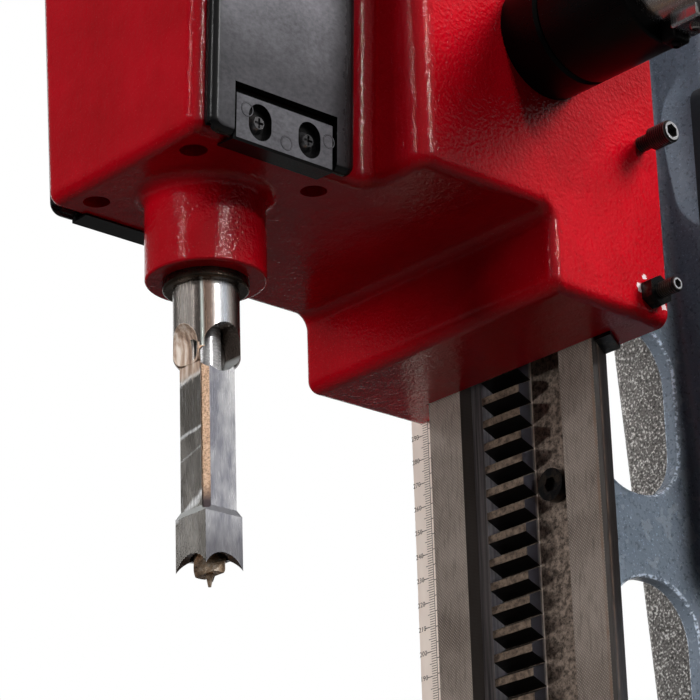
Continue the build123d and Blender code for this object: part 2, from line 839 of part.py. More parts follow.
with BuildPart() as lock_screw:
    lock_z = u_z + lock_screw_height
    lock_head_x = rear_right + lock_out
    lock_tip_x = slot_right - (gib_screw_depth - lock_shank_radius) * flank_run + slide_gap
    rod_x(lock_tip_x, lock_head_x, gib_screw_y, lock_z, lock_shank_radius)
    rod_x(lock_head_x, lock_head_x + lock_head_height, gib_screw_y, lock_z, lock_head_radius)
    chamfer(lock_screw.faces().sort_by(Axis.X)[-1].edges(), gib_tail / 2)
    with BuildSketch(Plane((lock_head_x + lock_head_height, gib_screw_y, lock_z), z_dir=(1, 0, 0))):
        RegularPolygon(lock_key / math.sqrt(3), 6)
    extrude(amount=-lock_head_height / 2, mode=Mode.SUBTRACT)
save(lock_screw, "lock_screw")

# Screws sunk in the underside of the head
with BuildPart() as under_screws:
    for sx in (-1, 1):
        for sy in (-1, 1):
            under_plane = Plane(
                (sx * under_hole_offset, spindle_y + sy * under_hole_offset, u_z + under_hole_depth),
                x_dir=(1, 0, 0),
                z_dir=(0, 0, -1),
            )
            with BuildSketch(under_plane):
                Circle(under_hole_radius)
            extrude(amount=under_hole_depth - under_screw_sink)
            with BuildSketch(under_plane.offset(under_hole_depth - under_screw_sink)):
                RegularPolygon(lock_key / math.sqrt(3), 6)
            extrude(amount=-under_screw_sink / 2, mode=Mode.SUBTRACT)
save(under_screws, "under_screws")

# Pinion with involute teeth, its shaft, and the end cap on the left
base_r = pinion_r * math.cos(math.radians(rack_flank_angle))
outer_r = pinion_r + pinion_addendum
root_r = pinion_r - rack_full_depth + rack_module
pinion_x0 = rack_tooth_left + (rack_tooth_width - pinion_width) / 2


def flank_turn(radius):
    """Half angle of a pinion tooth at a radius."""
    roll = math.sqrt(max((radius / base_r) ** 2 - 1, 0))
    pitch_roll = math.tan(math.radians(rack_flank_angle))
    half = (rack_pitch - 2 * tooth_half - pinion_backlash) / (2 * pinion_r)
    involute = (roll - math.atan(roll)) - (pitch_roll - math.radians(rack_flank_angle))
    return half - involute


flank_radii = (root_r, pinion_r - rack_module / 2, pinion_r + rack_module / 4, outer_r)
pinion_points = []
for tooth in range(pinion_teeth):
    middle = (tooth + 0.5) * 2 * math.pi / pinion_teeth
    for radius in flank_radii:
        turn = middle - flank_turn(radius)
        pinion_points.append((pinion_y + radius * math.cos(turn), pinion_z + radius * math.sin(turn)))
    for radius in reversed(flank_radii):
        turn = middle + flank_turn(radius)
        pinion_points.append((pinion_y + radius * math.cos(turn), pinion_z + radius * math.sin(turn)))
with BuildPart() as pinion:
    with BuildSketch(Plane.YZ.offset(pinion_x0)):
        with BuildLine():
            Polyline(*pinion_points, close=True)
        make_face()
    extrude(amount=pinion_width)
    rod_x(pinion_x0 - shaft_gap, pinion_x0 + pinion_width + shaft_gap, pinion_y, pinion_z, shaft_radius,
          mode=Mode.SUBTRACT)
save(pinion, "pinion")

collar_end_x = rear_right + collar_length
sleeve_x0 = collar_end_x + sleeve_gap
sleeve_x1 = sleeve_x0 + sleeve_length
hub_x1 = sleeve_x1 + lever_hub_length
hub_mid_x = (sleeve_x1 + hub_x1) / 2
lever_lean = math.radians(lever_rest_angle)
lever_dir = (0, math.sin(lever_lean), math.cos(lever_lean))
lever_plane = Plane((hub_mid_x, pinion_y, pinion_z), x_dir=(1, 0, 0), z_dir=lever_dir)
with BuildPart() as pinion_shaft:
    rod_x(-rear_left - slide_gap, sleeve_x1 + lever_hub_length / 8, pinion_y, pinion_z, shaft_radius)
save(pinion_shaft, "pinion_shaft")

with BuildPart() as shaft_end_cap:
    rod_x(-rear_left - end_cap_length, -rear_left, pinion_y, pinion_z, end_cap_radius)
    fillet(shaft_end_cap.faces().sort_by(Axis.X)[0].edges(), end_cap_length / 3)
    rod_x(-rear_left - end_cap_length / 3, -rear_left, pinion_y, pinion_z, shaft_radius + collar_bore_gap,
          mode=Mode.SUBTRACT)
save(shaft_end_cap, "shaft_end_cap")

with BuildPart() as spring_collar:
    rod_x(rear_right, collar_end_x, pinion_y, pinion_z, collar_radius)
    chamfer(spring_collar.faces().sort_by(Axis.X)[-1].edges(), collar_edge)
    rod_x(rear_right - slide_gap, collar_end_x + slide_gap, pinion_y, pinion_z, shaft_radius + collar_bore_gap,
          mode=Mode.SUBTRACT)
save(spring_collar, "spring_collar")

with BuildPart() as lever_sleeve:
    rod_x(sleeve_x0, sleeve_x1, pinion_y, pinion_z, collar_radius)
    fillet(lever_sleeve.faces().sort_by(Axis.X)[-1].edges(), sleeve_edge)
    chamfer(lever_sleeve.faces().sort_by(Axis.X)[0].edges(), collar_edge)
    rod_x(sleeve_x0 - slide_gap, sleeve_x1 + slide_gap, pinion_y, pinion_z, shaft_radius, mode=Mode.SUBTRACT)
save(lever_sleeve, "lever_sleeve")

with BuildPart() as lever_hub:
    rod_x(sleeve_x1, hub_x1, pinion_y, pinion_z, lever_hub_radius)
    fillet(lever_hub.faces().sort_by(Axis.X)[-1].edges(), lever_hub_edge)
    rod_x(sleeve_x1 - slide_gap, sleeve_x1 + lever_hub_length / 8, pinion_y, pinion_z, shaft_radius,
          mode=Mode.SUBTRACT)
    with BuildSketch(lever_plane.offset(-lever_arm_tail)):
        Circle(lever_arm_radius)
    extrude(amount=lever_arm_tail + 2 * lever_hub_radius, mode=Mode.SUBTRACT)
    rod_x(hub_mid_x, hub_x1, pinion_y, pinion_z, lever_bolt_radius, mode=Mode.SUBTRACT)
save(lever_hub, "lever_hub")

with BuildPart() as lever_bolt:
    bolt_plane = Plane((hub_x1, pinion_y, pinion_z), x_dir=(0, 1, 0), z_dir=(1, 0, 0))
    cap_screw(bolt_plane, lever_bolt_head, lever_bolt_head_height, lever_bolt_radius,
              hub_x1 - hub_mid_x - lever_arm_radius, lever_bolt_head)
save(lever_bolt, "lever_bolt")

with BuildPart() as lever_arm:
    with BuildSketch(lever_plane.offset(-lever_arm_tail)):
        Circle(lever_arm_radius)
    extrude(amount=lever_arm_tail + lever_arm_length)
save(lever_arm, "lever_arm")

grip_start = lever_arm_length - lever_grip_length + lever_grip_neck
grip_end = lever_arm_length + lever_grip_neck
grip_shoulder = grip_end - lever_grip_radius
grip_dome = (
    lever_grip_radius * math.cos(math.pi / 4),
    grip_shoulder + lever_grip_radius * math.sin(math.pi / 4),
)
with BuildPart() as lever_grip:
    with BuildSketch(Plane((hub_mid_x, pinion_y, pinion_z), x_dir=(1, 0, 0), z_dir=(0, -lever_dir[2], lever_dir[1]))):
        with BuildLine():
            Polyline((0, grip_end), (0, grip_start), (lever_grip_neck, grip_start))
            Line((lever_grip_neck, grip_start), (lever_grip_radius, grip_shoulder))
            ThreePointArc((lever_grip_radius, grip_shoulder), grip_dome, (0, grip_end))
        make_face()
    revolve(axis=Axis((hub_mid_x, pinion_y, pinion_z), lever_dir))
    with BuildSketch(lever_plane.offset(grip_start - lever_grip_neck)):
        Circle(lever_arm_radius)
    extrude(amount=lever_arm_length - grip_start + lever_grip_neck, mode=Mode.SUBTRACT)
save(lever_grip, "lever_grip")

# Chuck covers on both sides with their hinge plates, pins and screws
draft_cos = math.cos(math.radians(front_draft))
draft_sin = math.sin(math.radians(front_draft))
cover_notch_width = plate_width + 2 * cover_notch_gap
ear_inner = cover_notch_width / 2
ear_outer = cover_width / 2 - cover_edge
pin_spans = []
face_planes = []
for side, side_name in ((1, "right"), (-1, "left")):
    face_plane = Plane(
        (side * front_half_width, spindle_y + cover_shift, u_z),
        x_dir=(0, side, 0),
        z_dir=(side * draft_cos, 0, -draft_sin),
    )
    axis_origin = face_plane.from_local_coords((0, cover_axis_rise, cover_axis_out))
    pin_plane = Plane(axis_origin, x_dir=(0, 0, 1), z_dir=(0, 1, 0))
    with BuildPart() as cover:
        with BuildSketch(face_plane.offset(cover_base_gap)):
            with Locations((0, (cover_bottom + cover_height) / 2)):
                RectangleRounded(cover_width, cover_height - cover_bottom, cover_corner)
        extrude(amount=cover_thickness)
        outer = cover.faces().sort_by(Axis(face_plane.origin, face_plane.z_dir))[-1]
        fillet(outer.edges(), cover_edge)
        with BuildSketch(face_plane):
            Rectangle(cover_notch_width, 2 * cover_notch_height)
        extrude(amount=2 * cover_thickness, mode=Mode.SUBTRACT)
        with BuildSketch(face_plane):
            with Locations((0, cover_axis_rise - cover_notch_height / 2)):
                Rectangle(2 * cover_width, cover_notch_height)
        extrude(amount=cover_axis_out, mode=Mode.SUBTRACT)
        for ear in (-1, 1):
            with BuildSketch(pin_plane.offset(min(ear * ear_inner, ear * ear_outer))):
                Circle(cover_barrel)
            extrude(amount=ear_outer - ear_inner)
        with BuildSketch(pin_plane.offset(-cover_width)):
            Circle(hinge_pin_radius + hinge_pin_gap)
        extrude(amount=2 * cover_width, mode=Mode.SUBTRACT)
        with BuildSketch(face_plane.offset(cover_base_gap)):
            with Locations((0, cover_height - cover_edge - latch_height)):
                Rectangle(latch_width, latch_height)
        extrude(amount=cover_thickness + latch_depth)
    save(cover, "cover_" + side_name)

    screw_seats = [(-hinge_screw_offset, hinge_screw_rise), (hinge_screw_offset, hinge_screw_rise)]
    with BuildPart() as hinge_plate:
        with BuildSketch(face_plane):
            with Locations((0, (plate_bottom + plate_top) / 2)):
                Rectangle(plate_width, plate_top - plate_bottom)
        extrude(amount=plate_thickness)
        outer = hinge_plate.faces().sort_by(Axis(face_plane.origin, face_plane.z_dir))[-1]
        chamfer(outer.edges(), plate_edge)
        with BuildSketch(face_plane.offset(-lip_depth)):
            with Locations((0, (plate_bottom + lip_top) / 2)):
                Rectangle(plate_width, lip_top - plate_bottom)
        extrude(amount=lip_depth + plate_slot_floor)
        with BuildSketch(face_plane):
            with Locations((0, (plate_bottom + plate_tongue_top) / 2)):
                Rectangle(plate_width, plate_tongue_top - plate_bottom)
        extrude(amount=plate_slot_floor)
        with BuildSketch(face_plane.offset(plate_slot_floor)):
            with Locations(*screw_seats):
                SlotOverall(plate_slot_height, plate_slot_width, rotation=90)
        extrude(amount=plate_thickness, mode=Mode.SUBTRACT)
        with BuildSketch(face_plane):
            with Locations(*screw_seats):
                Circle(hinge_screw_shank)
        extrude(amount=plate_thickness, mode=Mode.SUBTRACT)
        for ear in (-1, 1):
            pin_inner = plate_width / 2 - hinge_pin_seat
            pin_plane_end = pin_plane.offset(min(ear * pin_inner, ear * ear_outer))
            with BuildSketch(pin_plane_end):
                Circle(hinge_pin_radius)
            extrude(amount=ear_outer - pin_inner, mode=Mode.SUBTRACT)
            pin_spans.append(pin_plane_end)
    save(hinge_plate, "hinge_plate_" + side_name)

    face_planes.append(face_plane)

with BuildPart() as hinge_pins:
    for pin_plane_end in pin_spans:
        with BuildSketch(pin_plane_end) as pin:
            Circle(hinge_pin_radius)
        extrude(pin.sketch, amount=ear_outer - plate_width / 2 + hinge_pin_seat)
save(hinge_pins, "hinge_pins")

with BuildPart() as hinge_screws:
    for face_plane in face_planes:
        for place in (-hinge_screw_offset, hinge_screw_offset):
            seat = Plane(
                face_plane.from_local_coords((place, hinge_screw_rise, plate_slot_floor)),
                x_dir=face_plane.x_dir,
                z_dir=face_plane.z_dir,
            )
            with BuildSketch(seat) as pan:
                Circle(hinge_screw_head)
            with BuildSketch(seat.offset(hinge_screw_head_height)) as pan_top:
                Circle(hinge_screw_head * 0.6)
            loft([pan.sketch.faces()[0], pan_top.sketch.faces()[0]])
            with BuildSketch(seat) as stem:
                Circle(hinge_screw_shank)
            extrude(stem.sketch, amount=-plate_slot_floor)
            with BuildSketch(seat.offset(hinge_screw_head_height)) as recess:
                Rectangle(hinge_screw_head, hinge_screw_cross)
                Rectangle(hinge_screw_cross, hinge_screw_head)
            extrude(recess.sketch, amount=-hinge_screw_head_height / 2, mode=Mode.SUBTRACT)
save(hinge_screws, "hinge_screws")

# Chisel bush in the boss and its set screw
ring_z = u_z - boss_drop
with BuildPart() as chisel_bush:
    rod_z(ring_z - bush_ring_height, ring_z, 0, spindle_y, bush_ring_radius)
    fillet(chisel_bush.faces().sort_by(Axis.Z)[0].edges(), bush_ring_edge)
    rod_z(ring_z, ring_z + bush_sleeve_length, 0, spindle_y, bush_sleeve_radius)
    rod_z(ring_z - 2 * bush_ring_height, ring_z + 2 * bush_sleeve_length, 0, spindle_y, shank_radius,
          mode=Mode.SUBTRACT)
    rod_x(-2 * boss_radius, 0, spindle_y, u_z - bush_screw_height, bush_screw_radius, mode=Mode.SUBTRACT)
save(chisel_bush, "chisel_bush")

with BuildPart() as bush_screw:
    rod_x(-boss_radius - bush_screw_out, -shank_radius, spindle_y, u_z - bush_screw_height, bush_screw_radius)
    with BuildSketch(Plane((-boss_radius - bush_screw_out, spindle_y, u_z - bush_screw_height), z_dir=(-1, 0, 0))):
        RegularPolygon(bush_screw_radius / 2, 6)
    extrude(amount=-bush_screw_out, mode=Mode.SUBTRACT)
save(bush_screw, "bush_screw")

# Hollow square chisel
tip_z = u_z - chisel_tip_drop
flare_z = u_z - chisel_flare_drop
shank_z = u_z - shank_end_drop
window_z = u_z - chisel_window_drop
arch_half = chisel_tip_size / 2
arch_radius = (arch_half ** 2 + chisel_arch_rise ** 2) / (2 * chisel_arch_rise)
arch_z = tip_z + chisel_arch_rise - arch_radius
slot_top_z = u_z - chisel_slot_top
slot_bottom_z = u_z - chisel_slot_bottom
flare_end_z = u_z - chisel_flare_end_drop
slot_plane = Plane(
    (chisel_size / 2, spindle_y - chisel_size / 2, (slot_top_z + slot_bottom_z) / 2),
    x_dir=(0, 0, 1),
    z_dir=(1, -1, 0),
)
scallop_radius = (chisel_window_radius ** 2 + scallop_depth ** 2) / (2 * scallop_depth)
with BuildPart() as chisel:
    rod_z(shank_z, u_z - shank_top_drop, 0, spindle_y, shank_radius)
    fillet(chisel.faces().sort_by(Axis.Z)[0].edges(), shank_round)
    block(-chisel_size / 2, chisel_size / 2, spindle_y - chisel_size / 2, spindle_y + chisel_size / 2,
          flare_z, shank_z + shank_round)
    block(-arch_half, arch_half, spindle_y - arch_half, spindle_y + arch_half, tip_z, flare_end_z)
    with BuildSketch(Plane((0, spindle_y, flare_end_z))):
        Rectangle(chisel_tip_size, chisel_tip_size)
    with BuildSketch(Plane((0, spindle_y, flare_z))):
        Rectangle(chisel_size, chisel_size)
    loft()
    rod_z(tip_z - chisel_size, u_z, 0, spindle_y, chisel_bore, mode=Mode.SUBTRACT)
    with Locations((0, spindle_y, tip_z)):
        Cone(chisel_bore_mouth, chisel_bore, chisel_mouth_depth, align=(Align.CENTER, Align.CENTER, Align.MIN),
             mode=Mode.SUBTRACT)
    rod_y(spindle_y - chisel_size, spindle_y + chisel_size, 0, arch_z, arch_radius, mode=Mode.SUBTRACT)
    rod_x(-chisel_size, chisel_size, spindle_y, arch_z, arch_radius, mode=Mode.SUBTRACT)
    with BuildSketch(slot_plane.offset(-chisel_slot_depth)):
        SlotOverall(slot_top_z - slot_bottom_z, chisel_slot_width)
    extrude(amount=2 * chisel_slot_depth, mode=Mode.SUBTRACT)
    rod_x(0, 2 * shank_radius, spindle_y, window_z, chisel_window_radius, mode=Mode.SUBTRACT)
    scallop_y = spindle_y - shank_radius + scallop_depth - scallop_radius
    with Locations((0, scallop_y, window_z)):
        Sphere(scallop_radius, mode=Mode.SUBTRACT)
    rod_z(shank_z - shank_round, window_z, 0, scallop_y, scallop_radius, mode=Mode.SUBTRACT)
save(chisel, "chisel")

# Auger bit: shank in the chuck, twisted flutes below, point past the chisel
flute_top_z = u_z - auger_flute_top
lip_z = u_z - auger_lip_drop
point_z = u_z - auger_point_drop
with BuildPart() as auger_bit:
    with BuildSketch(Plane((0, spindle_y, lip_z)), mode=Mode.PRIVATE) as flute:
        Rectangle(2 * auger_radius, auger_web)
        Circle(auger_core)
        with BuildSketch(mode=Mode.INTERSECT):
            Circle(auger_radius)
    twisted = Solid.extrude_linear_with_rotation(
        flute.sketch.faces()[0],
        Vector(0, spindle_y, lip_z),
        Vector(0, 0, flute_top_z - lip_z),
        360.0 * auger_turns,
    )
    add(twisted)
    rod_z(flute_top_z, u_z + auger_shank_top, 0, spindle_y, auger_shank_radius)
    with Locations((0, spindle_y, point_z)):
        Cone(auger_web / 8, auger_core, lip_z - point_z + auger_web,
             align=(Align.CENTER, Align.CENTER, Align.MIN))
save(auger_bit, "auger_bit")

# Drill chuck and motor shaft
chuck_z0 = u_z + chuck_bottom
chuck_z1 = u_z + chuck_top
flange_z1 = head_top_z + motor_flange_thickness
motor_z1 = flange_z1 + motor_length
with BuildPart() as chuck:
    with Locations((0, spindle_y, chuck_z0)):
        Cone(chuck_nose_radius, chuck_radius, chuck_nose_height, align=(Align.CENTER, Align.CENTER, Align.MIN))
    rod_z(chuck_z0 + chuck_nose_height, chuck_z1, 0, spindle_y, chuck_radius)
    rod_z(chuck_z0 - chuck_nose_height, u_z + auger_shank_top, 0, spindle_y, auger_shank_radius,
          mode=Mode.SUBTRACT)
save(chuck, "chuck")

fan_z0 = motor_z1 + motor_register
with BuildPart() as motor_shaft:
    rod_z(chuck_z1, fan_z0 + fan_height, 0, spindle_y, motor_shaft_radius)
    rod_z(fan_z0, fan_z0 + motor_register, 0, spindle_y, fan_radius)
    with Locations((0, spindle_y, fan_z0 + fan_height / 2)):
        with PolarLocations(fan_radius * 0.6, fan_blades):
            Box(fan_radius * 0.7, motor_rib_width, fan_height)
save(motor_shaft, "motor_shaft")

with BuildPart() as motor_flange:
    with BuildSketch(Plane((0, spindle_y, head_top_z))):
        RectangleRounded(2 * motor_flange_half, 2 * motor_flange_half, motor_flange_corner)
    extrude(amount=motor_flange_thickness)
    rod_z(head_top_z - slide_gap, flange_z1 + slide_gap, 0, spindle_y, motor_shaft_radius + motor_shaft_gap,
          mode=Mode.SUBTRACT)
    fillet(motor_flange.faces().sort_by(Axis.Z)[-1].outer_wire().edges(), table_edge)
save(motor_flange, "motor_flange")

# Motor with ribs, cowl, terminal box and bolts
motor_foot = motor_flange_thickness * 0.7
terminal_x = -motor_radius + terminal_edge
terminal_z0 = flange_z1 + motor_length * 0.35
with BuildPart() as motor_body:
    with BuildSketch(Plane((0, spindle_y, flange_z1))):
        RectangleRounded(2 * motor_flange_half, 2 * motor_flange_half, motor_flange_corner)
    extrude(amount=motor_foot)
    with BuildSketch(Plane((0, spindle_y, flange_z1))):
        Circle(motor_radius)
        with PolarLocations(motor_radius, motor_rib_count):
            Rectangle(2 * motor_rib_height, motor_rib_width)
    extrude(amount=motor_length)
    block(-2 * motor_radius, terminal_x, spindle_y - terminal_width / 2, spindle_y + terminal_width / 2,
          terminal_z0, terminal_z0 + terminal_height, mode=Mode.SUBTRACT)
    rod_z(flange_z1 - slide_gap, motor_z1 + slide_gap, 0, spindle_y, motor_shaft_radius + motor_shaft_gap,
          mode=Mode.SUBTRACT)
    with Locations((0, spindle_y, flange_z1)):
        with GridLocations(2 * motor_bolt_offset, 2 * motor_bolt_offset, 2, 2):
            Cylinder(motor_bolt_radius, 3 * motor_foot, mode=Mode.SUBTRACT)
save(motor_body, "motor_body")

with BuildPart() as terminal_box:
    block(terminal_x - terminal_depth, terminal_x, spindle_y - terminal_width / 2,
          spindle_y + terminal_width / 2, terminal_z0, terminal_z0 + terminal_height)
    fillet(terminal_box.faces().sort_by(Axis.X)[0].edges(), terminal_edge)
save(terminal_box, "terminal_box")

with BuildPart() as motor_cowl:
    rod_z(motor_z1, motor_z1 + cowl_height, 0, spindle_y, cowl_radius)
    fillet(motor_cowl.faces().sort_by(Axis.Z)[-1].edges(), cowl_edge)
    rod_z(motor_z1 - cowl_wall, motor_z1 + cowl_height - cowl_wall - cowl_edge, 0, spindle_y,
          cowl_radius - cowl_wall, mode=Mode.SUBTRACT)
    rod_z(motor_z1, motor_z1 + cowl_height - cowl_wall, 0, spindle_y, cowl_radius - cowl_wall - cowl_edge,
          mode=Mode.SUBTRACT)
    with Locations((0, spindle_y, motor_z1 + cowl_height)):
        with PolarLocations(cowl_radius / 2, cowl_slot_count):
            Box(cowl_radius / 2, motor_rib_width * 2, 4 * cowl_wall, mode=Mode.SUBTRACT)
save(motor_cowl, "motor_cowl")

with BuildPart() as motor_bolts:
    for sx in (-1, 1):
        for sy in (-1, 1):
            bolt_plane = Plane(
                (sx * motor_bolt_offset, spindle_y + sy * motor_bolt_offset, flange_z1 + motor_foot)
            )
            hex_bolt(bolt_plane, motor_bolt_head, motor_bolt_head_height, motor_bolt_radius, motor_foot)
save(motor_bolts, "motor_bolts")

# Control box beside the rear flange with lid, buttons and cable gland
box_x0 = flange_width / 2
box_x1 = box_x0 + box_width
box_y0 = way_face_y + box_front_back
box_y1 = box_y0 + box_depth
box_z1 = u_z + box_top_rise
box_z0 = box_z1 - box_height
button_x = (box_x0 + box_x1) / 2
gland_z = box_z0 + gland_rise
with BuildPart() as control_box:
    block(box_x0, box_x1, box_y0, box_y1, box_z0, box_z1)
    fillet(control_box.edges().filter_by(Axis.X), box_corner)
    block(box_x0 + box_wall, box_x1 + box_wall, box_y0 + box_wall, box_y1 - box_wall, box_z0 + box_wall,
          box_z1 - box_wall, mode=Mode.SUBTRACT)
    for drop in (button_start_drop, button_stop_drop):
        rod_y(box_y0 - button_bezel_height, box_y0 + box_wall / 2, button_x, box_z1 - drop, button_bezel_radius)
        rod_y(box_y0 - 2 * button_bezel_height, box_y0, button_x, box_z1 - drop, button_radius + collar_bore_gap,
              mode=Mode.SUBTRACT)
        rod_y(box_y0 - slide_gap, box_y0 + 2 * box_wall, button_x, box_z1 - drop, button_stem + slide_gap,
              mode=Mode.SUBTRACT)
    rod_y(box_y1 - 2 * box_wall, box_y1 + box_wall, button_x, gland_z, gland_bore, mode=Mode.SUBTRACT)
save(control_box, "control_box")

with BuildPart() as box_lid:
    block(box_x1, box_x1 + lid_thickness, box_y0, box_y1, box_z0, box_z1)
    fillet(box_lid.edges().filter_by(Axis.X), box_corner)
    chamfer(box_lid.faces().sort_by(Axis.X)[-1].edges(), lid_thickness / 4)
    for sy in (-1, 1):
        for sz in (-1, 1):
            screw_y = (box_y0 + box_y1) / 2 + sy * (box_depth / 2 - box_screw_inset)
            screw_z = (box_z0 + box_z1) / 2 + sz * (box_height / 2 - box_screw_inset)
            rod_x(box_x1 + lid_thickness / 2, box_x1 + lid_thickness + box_screw_rise, screw_y, screw_z,
                  box_screw_radius)
save(box_lid, "box_lid")

for button_name, drop in (("start_button", button_start_drop), ("stop_button", button_stop_drop)):
    with BuildPart() as button:
        cap_back = box_y0 - collar_bore_gap - button_travel
        rod_y(cap_back - button_rise, cap_back, button_x, box_z1 - drop, button_radius)
        fillet(button.faces().sort_by(Axis.Y)[0].edges(), button_rise / 4)
        rod_y(cap_back, box_y0 + 2 * box_wall, button_x, box_z1 - drop, button_stem)
    save(button, button_name)

with BuildPart() as inlet_gland:
    rod_y(box_y1, box_y1 + gland_length, button_x, gland_z, gland_radius)
    with BuildSketch(Plane((button_x, box_y1, gland_z), z_dir=(0, 1, 0))):
        RegularPolygon(gland_radius * 1.3, 6)
    extrude(amount=gland_length / 3)
    rod_y(box_y1 - slide_gap, box_y1 + 2 * gland_length, button_x, gland_z, gland_bore, mode=Mode.SUBTRACT)
save(inlet_gland, "inlet_gland")

# Table bracket bolted to the column
table_bottom_z = table_top_z - table_thickness
saddle_bottom_z = table_bottom_z - saddle_height
bracket_z0 = saddle_bottom_z - bracket_drop
bracket_under_z = saddle_bottom_z - bracket_top_thickness
bracket_front_y = way_face_y - bracket_reach
plate_front_y = way_face_y - bracket_plate
table_rear_y = way_face_y - table_rear_gap
table_front_y = table_rear_y - table_depth
table_mid_y = (table_rear_y + table_front_y) / 2
cross_z = saddle_bottom_z - cross_screw_drop
lug_y0 = table_mid_y - lug_length / 2
lug_y1 = table_mid_y + lug_length / 2
bolt_zs = (bracket_z0 + bracket_bolt_rise, bracket_z0 + bracket_bolt_rise + bracket_bolt_pitch)
bolt_xs = (-bracket_rib_offset / 2, bracket_rib_offset / 2)
with BuildPart() as table_bracket:
    block(-bracket_width / 2, bracket_width / 2, plate_front_y, way_face_y, bracket_z0, saddle_bottom_z)
    block(-bracket_width / 2, bracket_width / 2, bracket_front_y, way_face_y, bracket_under_z, saddle_bottom_z)
    for sx in (-1, 1):
        with BuildSketch(Plane.YZ.offset(sx * bracket_rib_offset - bracket_rib / 2)):
            with BuildLine():
                Polyline(
                    (plate_front_y, bracket_z0 + bracket_plate),
                    (plate_front_y, bracket_under_z),
                    (bracket_front_y + bracket_apron, bracket_under_z),
                    close=True,
                )
            make_face()
        extrude(amount=bracket_rib)
    block(-2 * lug_width, 2 * lug_width, bracket_front_y, bracket_front_y + bracket_apron,
          cross_z - wheel_hub, bracket_under_z)
    fillet(table_bracket.edges().filter_by(Axis.Z), table_edge)
    block(-key_width / 2, key_width / 2, bracket_front_y, plate_front_y, saddle_bottom_z,
          saddle_bottom_z + key_height)
    block(-lug_width / 2 - table_edge, lug_width / 2 + table_edge, lug_y0 - cross_forward - table_edge,
          lug_y1 + cross_back + table_edge, bracket_under_z - slide_gap, saddle_bottom_z + 2 * key_height,
          mode=Mode.SUBTRACT)
    rod_y(bracket_front_y - slide_gap, bracket_front_y + bracket_apron + slide_gap, 0, cross_z,
          cross_screw_radius + slide_gap, mode=Mode.SUBTRACT)
    for bolt_x in bolt_xs:
        for bolt_z in bolt_zs:
            rod_y(plate_front_y - slide_gap, way_face_y + slide_gap, bolt_x, bolt_z, bracket_bolt_radius,
                  mode=Mode.SUBTRACT)
save(table_bracket, "table_bracket")

with BuildPart() as bracket_bolts:
    for bolt_x in bolt_xs:
        for bolt_z in bolt_zs:
            bolt_plane = Plane((bolt_x, plate_front_y, bolt_z), x_dir=(1, 0, 0), z_dir=(0, -1, 0))
            hex_bolt(bolt_plane, bracket_bolt_head, bracket_bolt_head_height, bracket_bolt_radius, bracket_plate)
save(bracket_bolts, "bracket_bolts")

# Cross slide on the bracket, its lug carries the nut of the cross screw
long_z = (saddle_bottom_z + key_height + table_bottom_z) / 2
with BuildPart() as saddle:
    block(-saddle_width / 2, saddle_width / 2, table_mid_y - saddle_length / 2, table_mid_y + saddle_length / 2,
          saddle_bottom_z, table_bottom_z)
    fillet(saddle.edges().filter_by(Axis.Z), table_edge)
    block(-key_width / 2 - slide_gap, key_width / 2 + slide_gap, table_mid_y - saddle_length,
          table_mid_y + saddle_length, saddle_bottom_z - slide_gap, saddle_bottom_z + key_height + slide_gap,
          mode=Mode.SUBTRACT)
    block(-saddle_width / 2, saddle_width / 2, table_mid_y - key_width / 2, table_mid_y + key_width / 2,
          table_bottom_z, table_bottom_z + key_height)
    block(-lug_width / 2, lug_width / 2, lug_y0, lug_y1, cross_z - lug_width / 2,
          saddle_bottom_z + key_height + table_edge)
    rod_y(lug_y0 - slide_gap, lug_y1 + slide_gap, 0, cross_z, cross_screw_radius + slide_gap, mode=Mode.SUBTRACT)
    rod_x(-saddle_width, saddle_width, table_mid_y, long_z, long_screw_radius + slide_gap, mode=Mode.SUBTRACT)
save(saddle, "saddle")

# Long table with tee slots and an end plate for the long screw
fence_face_y = spindle_y + fence_clear
tee_ys = (spindle_y - clamp_open / 2, table_rear_y - fence_bolt_head * 2)
end_x0 = table_length / 2
end_x1 = end_x0 + end_plate
end_z0 = long_z - wheel_hub
with BuildPart() as table:
    block(-table_length / 2, table_length / 2, table_front_y, table_rear_y, table_bottom_z, table_top_z)
    fillet(table.edges().filter_by(Axis.Z), table_edge)
    chamfer(table.faces().sort_by(Axis.Z)[-1].edges(), table_edge / 3)
    for tee_y in tee_ys:
        block(-table_length, table_length, tee_y - tee_slot_width / 2, tee_y + tee_slot_width / 2,
              table_top_z - tee_slot_depth - tee_depth, table_top_z + slide_gap, mode=Mode.SUBTRACT)
        block(-table_length, table_length, tee_y - tee_width / 2, tee_y + tee_width / 2,
              table_top_z - tee_slot_depth - tee_depth, table_top_z - tee_slot_depth, mode=Mode.SUBTRACT)
    block(-table_length, table_length, table_mid_y - key_width / 2 - slide_gap, table_mid_y + key_width / 2 + slide_gap,
          table_bottom_z - slide_gap, table_bottom_z + key_height + slide_gap, mode=Mode.SUBTRACT)
    block(end_x0, end_x1, table_mid_y - end_plate_width / 2, table_mid_y + end_plate_width / 2, end_z0,
          table_top_z - tee_slot_depth - tee_depth)
    rod_x(end_x0 - slide_gap, end_x1 + slide_gap, table_mid_y, long_z, long_screw_radius + slide_gap,
          mode=Mode.SUBTRACT)
save(table, "table")

# Fence along the rear of the table with a wooden facing
fence_back_y = fence_face_y + fence_thickness
with BuildPart() as fence:
    block(-fence_length / 2, fence_length / 2, fence_face_y + fence_board, fence_back_y, table_top_z,
          table_top_z + fence_height)
    block(-fence_length / 2, fence_length / 2, fence_face_y + fence_board, table_rear_y, table_top_z,
          table_top_z + fence_foot_height)
    fillet(fence.edges().filter_by(Axis.X).group_by(Axis.Z)[-1], table_edge)
    for bolt_x in (-fence_bolt_pitch / 2, fence_bolt_pitch / 2):
        rod_z(table_top_z - slide_gap, table_top_z + fence_foot_height + slide_gap, bolt_x, tee_ys[1],
              fence_bolt_radius, mode=Mode.SUBTRACT)
save(fence, "fence")

